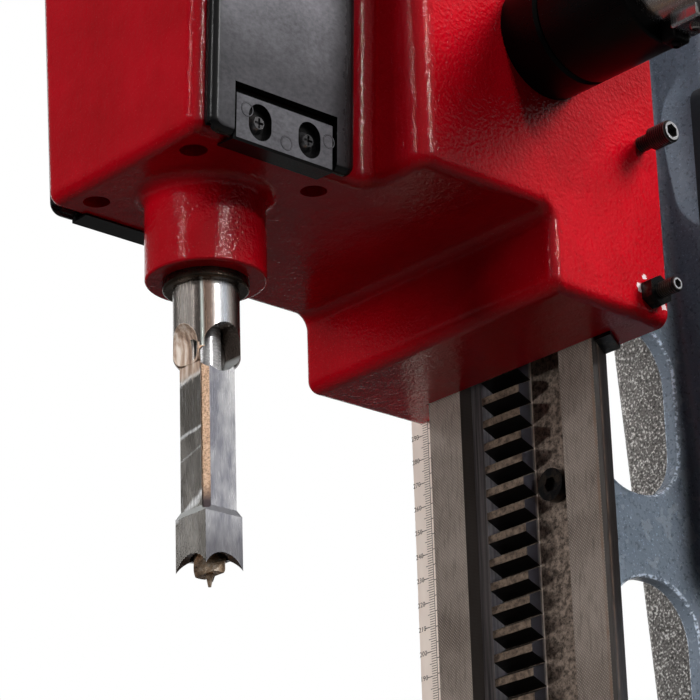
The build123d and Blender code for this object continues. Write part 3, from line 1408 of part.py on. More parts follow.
with BuildPart() as fence_facing:
    block(-fence_length / 2, fence_length / 2, fence_face_y, fence_face_y + fence_board, table_top_z,
          table_top_z + fence_height - table_edge)
save(fence_facing, "fence_facing")

with BuildPart() as fence_bolts:
    for bolt_x in (-fence_bolt_pitch / 2, fence_bolt_pitch / 2):
        bolt_plane = Plane((bolt_x, tee_ys[1], table_top_z + fence_foot_height))
        hex_bolt(bolt_plane, fence_bolt_head, fence_bolt_head_height, fence_bolt_radius,
                 fence_foot_height + tee_slot_depth)
        rod_z(table_top_z - tee_slot_depth - tee_depth, table_top_z - tee_slot_depth, bolt_x, tee_ys[1],
              tee_width / 2 - table_edge / 3)
save(fence_bolts, "fence_bolts")

# Work clamp: post, screw with wheel, pad
clamp_z = table_top_z + clamp_screw_rise
post_y0 = table_front_y
post_y1 = table_front_y + clamp_post_depth
pad_y1 = fence_face_y - clamp_open
pad_y0 = pad_y1 - clamp_pad_thickness
clamp_wheel_y = post_y0 - clamp_travel - wheel_clear
with BuildPart() as clamp_post:
    block(-clamp_width / 2, clamp_width / 2, post_y0, post_y1, table_top_z, table_top_z + clamp_height)
    fillet(clamp_post.edges().filter_by(Axis.Y).group_by(Axis.Z)[-1], clamp_width / 4)
    rod_y(post_y0 - slide_gap, post_y1 + slide_gap, 0, clamp_z, clamp_screw_radius + slide_gap,
          mode=Mode.SUBTRACT)
save(clamp_post, "clamp_post")

with BuildPart() as clamp_pad:
    block(-clamp_pad_width / 2, clamp_pad_width / 2, pad_y0, pad_y1, clamp_z - clamp_pad_height / 2,
          clamp_z + clamp_pad_height / 2)
    fillet(clamp_pad.edges().filter_by(Axis.Y), table_edge * 2)
    rod_y(pad_y0 - slide_gap, pad_y0 + clamp_pad_sink, 0, clamp_z, clamp_neck + slide_gap, mode=Mode.SUBTRACT)
save(clamp_pad, "clamp_pad")


def wheel(plane, radius, shaft_r, back):
    """Hand wheel facing along a plane's normal, with its screw behind it and a crank grip in front."""
    with BuildSketch(plane.offset(-back)) as shaft_face:
        Circle(shaft_r)
    extrude(shaft_face.sketch, amount=back)
    with BuildSketch(plane) as hub_face:
        Circle(wheel_hub)
    extrude(hub_face.sketch, amount=wheel_hub_length)
    rim_plane = plane.offset(wheel_hub_length / 2)
    with BuildSketch(Plane(rim_plane.origin, x_dir=plane.x_dir, z_dir=plane.y_dir)) as rim_face:
        with Locations((radius, 0)):
            RectangleRounded(2 * wheel_rim, 2 * wheel_rim, wheel_rim_round)
    revolve(rim_face.sketch, axis=Axis(rim_plane.origin, plane.z_dir))
    for spoke in range(wheel_spokes):
        turn = 2 * math.pi * spoke / wheel_spokes
        along = plane.x_dir * math.cos(turn) + plane.y_dir * math.sin(turn)
        with BuildSketch(Plane(rim_plane.origin, z_dir=along)) as spoke_face:
            Circle(wheel_spoke)
        extrude(spoke_face.sketch, amount=radius)
    grip_turn = math.pi / wheel_spokes
    grip_along = plane.x_dir * math.cos(grip_turn) + plane.y_dir * math.sin(grip_turn)
    grip_origin = rim_plane.origin + grip_along * radius
    grip_plane = Plane(grip_origin, x_dir=plane.x_dir, z_dir=plane.z_dir)
    with BuildSketch(grip_plane) as stem_face:
        Circle(grip_stem)
    extrude(stem_face.sketch, amount=wheel_rim + grip_gap + grip_length / 2)
    with BuildSketch(grip_plane.offset(wheel_rim + grip_gap)) as grip_face:
        Circle(grip_radius)
    extrude(grip_face.sketch, amount=grip_length)


with BuildPart() as clamp_screw:
    clamp_plane = Plane((0, clamp_wheel_y, clamp_z), x_dir=(1, 0, 0), z_dir=(0, -1, 0))
    wheel(clamp_plane, wheel_radius - wheel_rim, clamp_screw_radius, pad_y0 - clamp_wheel_y)
    rod_y(pad_y0, pad_y0 + clamp_pad_sink - slide_gap, 0, clamp_z, clamp_neck)
save(clamp_screw, "clamp_screw")

cross_wheel_y = bracket_front_y - wheel_hub_length - cross_forward - wheel_rim
with BuildPart() as cross_screw:
    cross_plane = Plane((0, cross_wheel_y, cross_z), x_dir=(1, 0, 0), z_dir=(0, -1, 0))
    wheel(cross_plane, wheel_radius, cross_screw_radius, lug_y1 + cross_back + table_edge - cross_wheel_y)
save(cross_screw, "cross_screw")

long_wheel_x = end_x1 + wheel_clear
long_screw_end = -saddle_width / 2 - long_travel / 2
with BuildPart() as long_screw:
    long_plane = Plane((long_wheel_x, table_mid_y, long_z), x_dir=(0, 1, 0), z_dir=(1, 0, 0))
    wheel(long_plane, wheel_radius, long_screw_radius, long_wheel_x - long_screw_end)
save(long_screw, "long_screw")
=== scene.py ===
"""Looks of the mortiser: finishes, fine shapes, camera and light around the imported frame."""
import logging
import math
from dataclasses import dataclass
from enum import Enum
from typing import Optional, Sequence, Union

import bmesh
import bpy
from mathutils import Matrix, Vector


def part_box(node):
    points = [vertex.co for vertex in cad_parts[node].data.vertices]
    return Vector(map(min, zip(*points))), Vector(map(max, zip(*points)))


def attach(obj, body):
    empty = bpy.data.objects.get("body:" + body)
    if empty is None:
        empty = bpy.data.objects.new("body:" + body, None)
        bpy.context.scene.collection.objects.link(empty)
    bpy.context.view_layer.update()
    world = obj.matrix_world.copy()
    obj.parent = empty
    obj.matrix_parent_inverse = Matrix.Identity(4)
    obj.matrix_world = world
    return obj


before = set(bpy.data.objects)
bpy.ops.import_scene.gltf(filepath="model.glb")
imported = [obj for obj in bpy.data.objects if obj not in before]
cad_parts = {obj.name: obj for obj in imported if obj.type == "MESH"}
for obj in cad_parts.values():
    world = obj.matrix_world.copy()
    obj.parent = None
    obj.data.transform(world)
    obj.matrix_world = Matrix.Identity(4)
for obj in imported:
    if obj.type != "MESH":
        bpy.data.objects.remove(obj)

LOG = logging.getLogger("mortiser")
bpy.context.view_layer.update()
MM = 0.001

Colour = tuple[float, float, float, float]
Material = bpy.types.Material
Socket = bpy.types.NodeSocket
Value = Union[float, Socket]
Layers = tuple[Socket, Socket, Socket]
Point = Sequence[float]
Span = tuple[float, float]

RACK_SET_BACK = 6.3 * MM
BOSS_DROP = 33.5 * MM
SPINDLE_REACH = 150.1 * MM
COVER_DRAFT = 2.9
PLATE_FACE = 46.45
NARROW_BEAM = 30.0
COLUMN_NODES = ("column", "scale_bar", "rack", "rack_screws")

RACK_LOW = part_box("rack")[0]
WAY_FACE = RACK_LOW.y - RACK_SET_BACK
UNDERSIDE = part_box("head_casting")[0].z + BOSS_DROP
SPINDLE_Y = WAY_FACE - SPINDLE_REACH
COVER_SLOPE = math.tan(math.radians(COVER_DRAFT))


def srgb(red: int, green: int, blue: int) -> Colour:
    """Turns a screen colour into Blender's linear colour.

    Args:
        red: Red from 0 to 255.
        green: Green from 0 to 255.
        blue: Blue from 0 to 255.

    Returns:
        Linear colour with full alpha.
    """
    def linear(level: int) -> float:
        """Gives one channel in linear light."""
        part = level / 255
        return part / 12.92 if part <= 0.04045 else ((part + 0.055) / 1.055) ** 2.4

    return (linear(red), linear(green), linear(blue), 1.0)


def at(x: float, y: float, z: float) -> Vector:
    """Gives a place measured in millimetres from the middle, the way face and the head's underside."""
    return Vector((x * MM, WAY_FACE + y * MM, UNDERSIDE + z * MM))


class Side(Enum):
    """The two sides of the head that carry a chuck cover."""

    RIGHT = 1
    LEFT = -1


class Axis(Enum):
    """The three directions of the frame."""

    X = "X"
    Y = "Y"
    Z = "Z"


class Calc(Enum):
    """Calculations with one or two values."""

    ADD = "ADD"
    SUBTRACT = "SUBTRACT"
    MULTIPLY = "MULTIPLY"
    MAXIMUM = "MAXIMUM"
    ABSOLUTE = "ABSOLUTE"
    ARCTAN2 = "ARCTAN2"


class Curve(Enum):
    """Ways that a mapped value runs from its start to its end."""

    STRAIGHT = "LINEAR"
    SOFT = "SMOOTHSTEP"


class Graph:
    """A node tree, with short calls for the nodes it is made of."""

    def __init__(self, tree: bpy.types.NodeTree) -> None:
        """Takes a tree and gives it texture coordinates."""
        self.tree = tree
        self.coords = tree.nodes.new("ShaderNodeTexCoord").outputs

    def feed(self, socket: Socket, value: object) -> None:
        """Sets or links one input socket.

        Args:
            socket: Socket to feed.
            value: Constant or other socket; None leaves the socket as it is.
        """
        if isinstance(value, Socket):
            self.tree.links.new(value, socket)
        elif value is not None:
            socket.default_value = value

    def make(self, kind: str, inputs: dict[Union[int, str], object], **options: object) -> bpy.types.Node:
        """Makes a node.

        Args:
            kind: Node type, without its first word.
            inputs: Sockets by name or number, and what feeds them.
            **options: Options of the node.

        Returns:
            The node.
        """
        node = self.tree.nodes.new("ShaderNode" + kind)
        for name, option in options.items():
            setattr(node, name, option)
        for key, value in inputs.items():
            self.feed(node.inputs[key], value)
        return node

    def calc(self, what: Calc, first: Value, second: Value = 0.0) -> Socket:
        """Gives a sum, product or other calculation of two values."""
        return self.make("Math", {0: first, 1: second}, operation=what.value).outputs["Value"]

    def spread(self, value: Socket, low: float, high: float, to_low: float = 0.0, to_high: float = 1.0,
               curve: Curve = Curve.STRAIGHT) -> Socket:
        """Maps a value from one range to another, clamped.

        Args:
            value: Value to map.
            low: Start of its range.
            high: End of its range.
            to_low: Result at the start.
            to_high: Result at the end.
            curve: Way that it runs between them.

        Returns:
            Value socket.
        """
        inputs = {"Value": value, "From Min": low, "From Max": high, "To Min": to_low, "To Max": to_high}
        return self.make("MapRange", inputs, interpolation_type=curve.value).outputs["Result"]

    def blend(self, share: Value, first: Value, second: Value) -> Socket:
        """Gives a mix of two values by a share of the second."""
        return self.make("Mix", {0: share, 2: first, 3: second}).outputs[0]

    def both(self, *masks: Socket) -> Socket:
        """Gives the product of several masks.

        Args:
            *masks: Masks to multiply.

        Returns:
            Value socket.
        """
        result = masks[0]
        for mask in masks[1:]:
            result = self.calc(Calc.MULTIPLY, result, mask)
        return result

    def mirrored(self) -> Socket:
        """Gives 1 for rays that glossy surfaces send out."""
        return self.make("LightPath", {}).outputs["Is Glossy Ray"]

    def seen(self) -> Socket:
        """Gives 1 for rays from the camera or through clear surfaces."""
        rays = self.make("LightPath", {}).outputs
        return self.calc(Calc.MAXIMUM, rays["Is Camera Ray"], rays["Is Transmission Ray"])


class Shader(Graph):
    """One node material with a principled surface."""

    def __init__(self, name: str) -> None:
        """Starts a material whose patterns follow object coordinates.

        Args:
            name: Name of the material.
        """
        self.material = bpy.data.materials.new(name)
        self.material.use_nodes = True
        super().__init__(self.material.node_tree)
        self.surface = self.tree.nodes["Principled BSDF"]
        self.place = self.coords["Object"]

    def mapped(self, scale: Point, turn: Point = (0, 0, 0)) -> Socket:
        """Gives object coordinates turned and scaled.

        Args:
            scale: Scale along each axis.
            turn: Turn about each axis in degrees.

        Returns:
            Vector socket.
        """
        angles = [math.radians(angle) for angle in turn]
        inputs = {"Vector": self.place, "Rotation": angles, "Scale": scale}
        return self.make("Mapping", inputs).outputs["Vector"]

    def noise(self, scale: float, detail: float = 2.0, rough: float = 0.5, where: Optional[Socket] = None,
              distort: float = 0.0) -> Socket:
        """Gives a noise value from 0 to 1.

        Args:
            scale: Cells for each metre.
            detail: Octaves.
            rough: Strength of the finer octaves.
            where: Coordinates, the object's own by default.
            distort: Warp of the pattern.

        Returns:
            Value socket.
        """
        inputs = {"Vector": where or self.place, "Scale": scale, "Detail": detail, "Roughness": rough,
                  "Distortion": distort}
        return self.make("TexNoise", inputs).outputs["Fac"]

    def lines(self, pitch: float, where: Socket, warp: float = 0.0, axis: Axis = Axis.X) -> Socket:
        """Gives parallel bands.

        Args:
            pitch: Distance between bands in metres.
            where: Coordinates.
            warp: Warp of the bands.
            axis: Axis across the bands.

        Returns:
            Value socket.
        """
        inputs = {"Vector": where, "Scale": math.tau / 20 / pitch, "Distortion": warp, "Detail": 2.0}
        return self.make("TexWave", inputs, bands_direction=axis.value).outputs["Fac"]

    def axis(self, which: Axis, start: float = 0.0) -> Socket:
        """Gives one object coordinate in metres, counted from a start."""
        part = self.make("SeparateXYZ", {"Vector": self.place}).outputs[which.value]
        return self.calc(Calc.SUBTRACT, part, start) if start else part

    def facing(self, which: Axis) -> Socket:
        """Gives one part of the surface normal in object space."""
        return self.make("SeparateXYZ", {"Vector": self.coords["Normal"]}).outputs[which.value]

    def turned_to(self, which: Axis) -> Socket:
        """Gives how far the surface faces along an axis, either way."""
        return self.calc(Calc.ABSOLUTE, self.facing(which))

    def reach(self, centre: Point, scale: Point = (1, 1, 1)) -> Socket:
        """Gives the distance from a place, with each axis weighed by a scale.

        Args:
            centre: The place.
            scale: Weight of each axis.

        Returns:
            Value socket.
        """
        middle = [part * weigh for part, weigh in zip(centre, scale)]
        inputs = {0: self.mapped(scale), 1: middle}
        return self.make("VectorMath", inputs, operation="DISTANCE").outputs["Value"]

    def ramp(self, value: Socket, stops: Sequence[tuple[float, Colour]]) -> Socket:
        """Gives a colour from a value.

        Args:
            value: Value from 0 to 1.
            stops: Places and colours.

        Returns:
            Colour socket.
        """
        node = self.make("ValToRGB", {"Fac": value})
        elements = node.color_ramp.elements
        while len(elements) < len(stops):
            elements.new(0.5)
        for element, (place, colour) in zip(elements, stops):
            element.position = place
            element.color = colour
        return node.outputs["Color"]

    def mix(self, share: Value, first: object, second: object) -> Socket:
        """Gives a mix of two colours by a share of the second."""
        return self.make("Mix", {0: share, 6: first, 7: second}, data_type="RGBA").outputs[2]

    def tone(self, value: Socket, span: Span, first: object, second: object) -> Socket:
        """Gives a mix of two colours that runs over a span of a value."""
        return self.mix(self.spread(value, *span), first, second)

    def turn_normal(self, share: Value, first: Socket, second: Socket) -> Socket:
        """Gives a mix of two normals by a share of the second."""
        return self.make("Mix", {0: share, 4: first, 5: second}, data_type="VECTOR").outputs[1]

    def lay(self, share: Value, under: Layers, over: Layers) -> Layers:
        """Lays one coat over another.

        Args:
            share: Where the upper coat covers.
            under: Colour, roughness and normal of the lower coat.
            over: Colour, roughness and normal of the upper coat.

        Returns:
            Colour, roughness and normal of both.
        """
        return (self.mix(share, under[0], over[0]), self.blend(share, under[1], over[1]),
                self.turn_normal(share, under[2], over[2]))

    def bump(self, height: Socket, strength: Value, depth: float, under: Optional[Socket] = None) -> Socket:
        """Gives a bumped normal.

        Args:
            height: Height from 0 to 1.
            strength: Strength of the bump.
            depth: Depth in metres.
            under: A normal that this one lies on.

        Returns:
            Normal socket.
        """
        inputs = {"Height": height, "Strength": strength, "Distance": depth, "Normal": under}
        return self.make("Bump", inputs).outputs["Normal"]

    def finish(self, **inputs: object) -> Material:
        """Feeds the surface's sockets and gives the material.

        Args:
            **inputs: Socket names with underscores for spaces, and their values.

        Returns:
            The material.
        """
        for name, value in inputs.items():
            self.feed(self.surface.inputs[name.replace("_", " ").title().replace("Ior", "IOR")], value)
        return self.material


@dataclass(frozen=True)
class Spot:
    """A small patch of another colour, such as chipped paint."""

    centre: Point
    radius: float
    colour: Colour
    ragged: float = 0.55

    def mask(self, shader: Shader) -> Socket:
        """Gives the patch with a ragged edge.

        Args:
            shader: Material that it lies on.

        Returns:
            Mask socket.
        """
        stray = self.ragged * self.radius
        ragged = shader.spread(shader.noise(700.0, 3.0, 0.7), 0.3, 0.7, -stray, stray)
        reach = shader.calc(Calc.ADD, shader.reach(self.centre), ragged)
        return shader.spread(reach, 0.92 * self.radius, 0.8 * self.radius)


@dataclass(frozen=True)
class CastingPaint:
    """Glossy paint on a rough casting, with an orange peel skin."""

    name: str
    light: Colour
    deep: Colour
    spots: tuple[Spot, ...] = ()
    # Colour of the painted glint specks.
    speck: Colour = srgb(226, 96, 100)
    peel_scale: float = 900.0
    peel_depth: float = 0.0002
    pebble_scale: float = 620.0
    pebble_depth: float = 0.0005

    def material(self) -> Material:
        """Builds the paint: cloudy colour, pink specks of painted glint, waves of the casting under a fine
        peel, pebbled side faces, chips.

        Returns:
            The material.
        """
        shader = Shader(self.name)
        colour = shader.tone(shader.noise(34.0, 4.0, 0.6), (0.35, 0.7), self.light, self.deep)
        # Painted glints: small pink specks mixed into the colour, in place of sparkle on the peel.
        speck = shader.spread(shader.noise(1500.0, 2.0, 0.6), 0.62, 0.74, 0.0, 0.28)
        colour = shader.mix(speck, colour, self.speck)
        for spot in self.spots:
            colour = shader.mix(spot.mask(shader), colour, spot.colour)
        wave = shader.noise(140.0, 2.0, 0.5)
        peel = shader.noise(self.peel_scale, 2.0, 0.5)
        normal = shader.bump(peel, 1.0, self.peel_depth, shader.bump(wave, 0.6, 3 * self.peel_depth))
        flat = shader.spread(shader.turned_to(Axis.X), 0.95, 0.99)
        normal = shader.bump(shader.noise(self.pebble_scale, 2.0, 0.5), flat, self.pebble_depth, normal)
        rough = shader.spread(shader.noise(80.0, 4.0, 0.65), 0.3, 0.75, 0.05, 0.12)
        return shader.finish(base_color=colour, roughness=rough, normal=normal, specular_ior_level=0.3)


@dataclass(frozen=True)
class GreyPaint:
    """Blue grey gloss paint, smooth or granular."""

    name: str
    light: Colour
    dark: Colour
    # Colour of the painted glint specks.
    dust: Colour = srgb(170, 188, 210)
    pit: Colour = srgb(52, 58, 66)
    grain_dark: Colour = srgb(70, 67, 65)
    grain_mid: Colour = srgb(146, 142, 138)
    grain_bright: Colour = srgb(255, 252, 248)

    def smooth(self, shader: Shader) -> Layers:
        """Gives the smooth coat with a few specks of painted glint and pits.

        Args:
            shader: Material that it is part of.

        Returns:
            Colour, roughness and normal.
        """
        colour = shader.tone(shader.noise(16.0, 4.0, 0.55), (0.35, 0.68), self.light, self.dark)
        # Painted glints: pale blue specks mixed into the colour.
        speck = shader.spread(shader.noise(1100.0, 2.0, 0.5), 0.64, 0.72, 0.0, 0.6)
        colour = shader.mix(speck, colour, self.dust)
        pit = shader.spread(shader.noise(640.0, 2.0, 0.5), 0.42, 0.32, 0.0, 0.45)
        colour = shader.mix(pit, colour, self.pit)
        rough = shader.spread(shader.noise(120.0, 3.0, 0.6), 0.3, 0.7, 0.18, 0.32)
        wave = shader.noise(90.0, 2.0, 0.5)
        normal = shader.bump(shader.noise(560.0, 3.0, 0.6), 0.8, 0.0004, shader.bump(wave, 0.5, 0.0008))
        return colour, rough, normal

    def granular(self, shader: Shader) -> Layers:
        """Gives the paint over a rough sand cast skin.

        Args:
            shader: Material that it is part of.

        Returns:
            Colour, roughness and normal.
        """
        grain = shader.noise(1000.0, 2.0, 0.5)
        colour = shader.tone(grain, (0.3, 0.55), self.grain_dark, self.grain_mid)
        colour = shader.tone(grain, (0.58, 0.64), colour, self.grain_bright)
        rough = shader.spread(grain, 0.4, 0.7, 0.5, 0.24)
        return colour, rough, shader.bump(grain, 0.8, 0.0008)

    def material(self) -> Material:
        """Builds the smooth coat on its own.

        Returns:
            The material.
        """
        shader = Shader(self.name)
        colour, rough, normal = self.smooth(shader)
        return shader.finish(base_color=colour, roughness=rough, normal=normal)


@dataclass(frozen=True)
class MouldedPlastic:
    """Moulded plastic with a fine grain and lighter clouds, a painted sheen on the covers; painted shade off
    the flat side face where an edge colour is given.
    """

    name: str
    colour: Colour
    # Lighter tone of the clouds; on the covers and plates it is a painted sheen.
    haze: Colour
    rough: float = 0.4
    grain: float = 1300.0
    grain_depth: float = 0.00008
    gloss: float = 0.4
    # Colour of the painted shade off the flat side face.
    edge: Optional[Colour] = None
    rim: Span = (-9.0, 9.0)
    front_band: Span = (1.0 * MM, 3.0 * MM)
    rear_band: Span = (3.5 * MM, 15.0 * MM)
    floor: float = 0.0
    floor_band: Span = (0.6 * MM, 0.3 * MM)
    fade: Span = (-9.0, -8.0)

    def face(self, shader: Shader) -> Socket:
        """Gives the flat of the side face, inside its rim: outside it lies the painted shade of the rounded
        edges, of bands along the front and rear, and of recess floors.

        Args:
            shader: Material that it is part of.

        Returns:
            Mask socket.
        """
        lean = shader.calc(Calc.MULTIPLY, shader.axis(Axis.Z, UNDERSIDE), COVER_SLOPE)
        out = shader.calc(Calc.SUBTRACT, shader.calc(Calc.ABSOLUTE, shader.axis(Axis.X)), lean)
        front, rear = self.rim
        along = shader.axis(Axis.Y)
        return shader.both(
            shader.spread(shader.turned_to(Axis.X), 0.88, 0.97),
            shader.spread(along, front + self.front_band[0], front + self.front_band[1], 0.05, 1.0),
            shader.spread(along, rear - self.rear_band[0], rear - self.rear_band[1], 0.02, 1.0),
            shader.spread(out, self.floor - self.floor_band[0], self.floor - self.floor_band[1]))

    def material(self) -> Material:
        """Builds the plastic: lighter clouds (a painted sheen on the covers), scuffs and moulded grain, and
        with an edge colour, painted shade off the flat side face and towards the bottom.

        Returns:
            The material.
        """
        shader = Shader(self.name)
        cloud = shader.calc(Calc.MULTIPLY, shader.noise(22.0, 3.0, 0.55), 0.6)
        fine = shader.noise(560.0, 4.0, 0.7, shader.mapped((1.0, 0.8, 1.2)))
        mottle = shader.calc(Calc.MULTIPLY, fine, 0.4)
        colour = shader.tone(shader.calc(Calc.ADD, cloud, mottle), (0.38, 0.66), self.colour, self.haze)
        scuff = shader.noise(9.0, 6.0, 0.7, shader.mapped((1.0, 4.0, 9.0), (20, 0, 35)))
        rough = shader.calc(Calc.ADD, shader.spread(scuff, 0.35, 0.7, -0.08, 0.1), self.rough)
        normal = shader.bump(shader.noise(self.grain, 3.0, 0.65), 0.5, self.grain_depth)
        # Painted shade: off the flat side face, and towards the bottom over the low shade span, the colour
        # goes to the edge colour.
        if self.edge:
            flat = self.face(shader)
            low_shade = shader.spread(shader.axis(Axis.Z, UNDERSIDE), *self.fade, 0.55, 0.0)
            colour = shader.mix(flat, self.edge, shader.mix(low_shade, colour, self.edge))
            rough = shader.blend(flat, 0.24, rough)
        return shader.finish(base_color=colour, roughness=rough, normal=normal, specular_ior_level=self.gloss)


@dataclass(frozen=True)
class GroundSteel:
    """Bright steel, ground or turned along one direction."""

    name: str
    bright: Colour
    dull: Colour
    stretch: Point = (1.0, 1.0, 0.03)
    rough: float = 0.2
    scale: float = 2200.0
    depth: float = 0.00002

    def material(self) -> Material:
        """Builds the steel: stretched grinding lines, stains and a little tarnish.

        Returns:
            The material.
        """
        shader = Shader(self.name)
        grind = shader.noise(self.scale, 3.0, 0.6, shader.mapped(self.stretch))
        colour = shader.tone(shader.noise(55.0, 4.0, 0.6), (0.4, 0.72), self.bright, self.dull)
        rough = shader.calc(Calc.ADD, shader.spread(grind, 0.3, 0.7, -0.06, 0.1), self.rough)
        normal = shader.bump(grind, 0.35, self.depth)
        return shader.finish(base_color=colour, roughness=rough, normal=normal, metallic=1.0)


@dataclass(frozen=True)
class Streak:
    """A slanting painted highlight streak across the chisel's front face."""

    height: float
    slope: float
    half: float
    share: float
    ragged: float = 0.4

    def mask(self, shader: Shader, x: Socket, z: Socket) -> Socket:
        """Gives the streak, a little ragged, with soft edges.

        Args:
            shader: Material that it lies on.
            x: Place across the chisel.
            z: Height from the head's underside.

        Returns:
            Mask socket.
        """
        stray = self.ragged * self.half
        ragged = shader.spread(shader.noise(300.0, 3.0, 0.6), 0.3, 0.7, -stray, stray)
        slant = shader.calc(Calc.MULTIPLY, x, self.slope)
        across = shader.calc(Calc.SUBTRACT, shader.calc(Calc.SUBTRACT, z, self.height), slant)
        reach = shader.calc(Calc.ABSOLUTE, shader.calc(Calc.ADD, across, ragged))
        return shader.spread(reach, self.half, 0.2 * self.half, 0.0, self.share)


@dataclass(frozen=True)
class ChiselSteel:
    """Hollow chisel: shank with painted reflection bands, ground faces with painted highlight streaks and
    painted light by facing, tan chip slot and scoop, painted shade on inner walls.
    """

    name: str
    # Painted highlights: slanting white streaks on the front face.
    streaks: tuple[Streak, ...] = (Streak(-90.7 * MM, 0.16, 0.8 * MM, 0.8),
                                   Streak(-117.0 * MM, 0.5, 2.3 * MM, 1.0),
                                   Streak(-70.4 * MM, 0.22, 1.4 * MM, 0.7),
                                   Streak(-98.5 * MM, 0.3, 0.5 * MM, 0.4))
    slot_half: float = 1.58 * MM
    slot_top: float = -61.5 * MM
    slot_bottom: float = -120.8 * MM
    slot_dark: Span = (10 * MM, 4 * MM)
    scoop_drop: float = -60.4 * MM
    scoop_centre: float = -16.26 * MM
    scoop_radius: float = 9.5 * MM
    chute_face: Span = (-6.6 * MM, -6.75 * MM)
    chute_end: float = -70.5 * MM
    chute_half: float = 7.4 * MM
    chute_stray: float = 2 * MM
    shank_end: float = -65.9 * MM
    dull_tip: Span = (-121.0 * MM, -134.0 * MM)
    # Tones of the painted reflection bands on the shank.
    pale: Colour = srgb(226, 222, 218)
    mid: Colour = srgb(190, 181, 174)
    dark: Colour = srgb(82, 75, 71)

    def shank(self, shader: Shader, x: Socket, y: Socket) -> Socket:
        """Gives painted reflections: light and dark bands round the shank, by the angle about its axis.

        Args:
            shader: Material that they are part of.
            x: Place across the chisel.
            y: Place along the machine, from the spindle.

        Returns:
            Colour socket.
        """
        drawn = shader.noise(60.0, 3.0, 0.6, shader.mapped((1.0, 1.0, 0.12)))
        wobble = shader.spread(drawn, 0.3, 0.7, -0.05, 0.05)
        turn = shader.calc(Calc.ADD, shader.calc(Calc.ARCTAN2, y, x), wobble)
        pale, mid, dark = self.pale, self.mid, self.dark
        # Painted reflections: bands of light and dark round the shank.
        stops = [(0.0, mid), (0.16, pale), (0.2, dark), (0.24, mid), (0.29, mid), (0.335, dark),
                 (0.364, dark), (0.374, srgb(238, 246, 240)), (0.384, srgb(120, 98, 84)),
                 (0.415, srgb(150, 128, 116)), (0.44, pale), (0.485, srgb(222, 228, 238)), (0.515, mid),
                 (0.555, dark),
                 (0.63, srgb(40, 38, 38)), (0.7, pale), (0.8, dark), (0.9, pale), (1.0, mid)]
        return shader.ramp(shader.spread(turn, -math.pi, math.pi), stops)

    def faces(self, shader: Shader, x: Socket, z: Socket) -> Socket:
        """Gives the ground faces, with slanting painted highlight streaks, cloudy tarnish and fine scratches;
        side faces are painted lighter than the front face, and darker towards the tip.

        Args:
            shader: Material that they are part of.
            x: Place across the chisel.
            z: Height from the head's underside.

        Returns:
            Colour socket.
        """
        cloud = shader.noise(60.0, 4.0, 0.66, shader.mapped((1.0, 1.0, 0.4), (18, 0, 0)))
        side = shader.tone(cloud, (0.4, 0.6), srgb(255, 254, 255), srgb(160, 160, 170))
        side = shader.mix(shader.spread(z, *self.dull_tip, 0.0, 0.75), side, srgb(104, 102, 108))
        face = shader.tone(cloud, (0.38, 0.62), srgb(178, 173, 167), srgb(110, 106, 101))
        for streak in self.streaks:
            face = shader.mix(streak.mask(shader, x, z), face, srgb(255, 255, 255))
        # Painted light: faces turned to the front get the darker tones, the side faces the lighter ones.
        colour = shader.tone(shader.facing(Axis.Y), (-0.35, -0.75), side, face)
        scratch = shader.noise(2600.0, 2.0, 0.6, shader.mapped((1.0, 1.0, 0.03), (4, 6, 0)))
        return shader.mix(shader.spread(scratch, 0.58, 0.72, 0.0, 0.4), colour, srgb(220, 220, 224))

    def slot(self, shader: Shader, x: Socket, y: Socket, z: Socket) -> Socket:
        """Gives the chip slot along the chisel's corner.

        Args:
            shader: Material that it is part of.
            x: Place across the chisel.
            y: Place along the machine, from the spindle.
            z: Height from the head's underside.

        Returns:
            Mask socket.
        """
        across = shader.calc(Calc.MULTIPLY, shader.calc(Calc.ADD, x, y), math.sqrt(0.5))
        lateral = shader.calc(Calc.ABSOLUTE, across)
        return shader.both(shader.spread(lateral, self.slot_half, self.slot_half - 0.1 * MM),
                           shader.spread(z, self.slot_top, self.slot_top - 0.4 * MM),
                           shader.spread(z, self.slot_bottom - 0.3 * MM, self.slot_bottom),
                           shader.spread(shader.calc(Calc.SUBTRACT, x, y), 0.0, 1.0 * MM))

    def chips(self, shader: Shader, z: Socket) -> Socket:
        """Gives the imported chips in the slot, dark at its lower end.

        Args:
            shader: Material that they are part of.
            z: Height from the head's underside.

        Returns:
            Colour socket.
        """
        stops = [(0.34, srgb(104, 80, 62)), (0.5, srgb(184, 148, 120)), (0.68, srgb(214, 190, 166))]
        chips = shader.ramp(shader.noise(1500.0, 3.0, 0.7), stops)
        end = shader.spread(z, self.slot_bottom + self.slot_dark[0], self.slot_bottom + self.slot_dark[1])
        return shader.mix(end, chips, srgb(58, 48, 50))

    def scoop(self, shader: Shader, x: Socket, y: Socket, z: Socket, fibre: Socket) -> Socket:
        """Gives the front chip window with the dusty chute below it.

        Args:
            shader: Material that it is part of.
            x: Place across the chisel.
            y: Place along the machine, from the spindle.
            z: Height from the head's underside.
            fibre: Pattern that frays the chute's end.

        Returns:
            Mask socket.
        """
        ball = shader.reach((0.0, SPINDLE_Y + self.scoop_centre, UNDERSIDE + self.scoop_drop))
        scoop = shader.spread(ball, self.scoop_radius, self.scoop_radius - 0.15 * MM)
        frayed = shader.calc(Calc.ADD, z, shader.spread(fibre, 0.3, 0.7, -self.chute_stray, self.chute_stray))
        wide = shader.calc(Calc.ABSOLUTE, x)
        chute = shader.both(shader.spread(y, *self.chute_face),
                            shader.spread(wide, self.chute_half, self.chute_half - 0.2 * MM),
                            shader.spread(frayed, self.chute_end - 1.5 * MM, self.chute_end + 1.5 * MM),
                            shader.spread(z, self.scoop_drop + 0.2 * MM, self.scoop_drop))
        return shader.calc(Calc.MAXIMUM, scoop, chute)

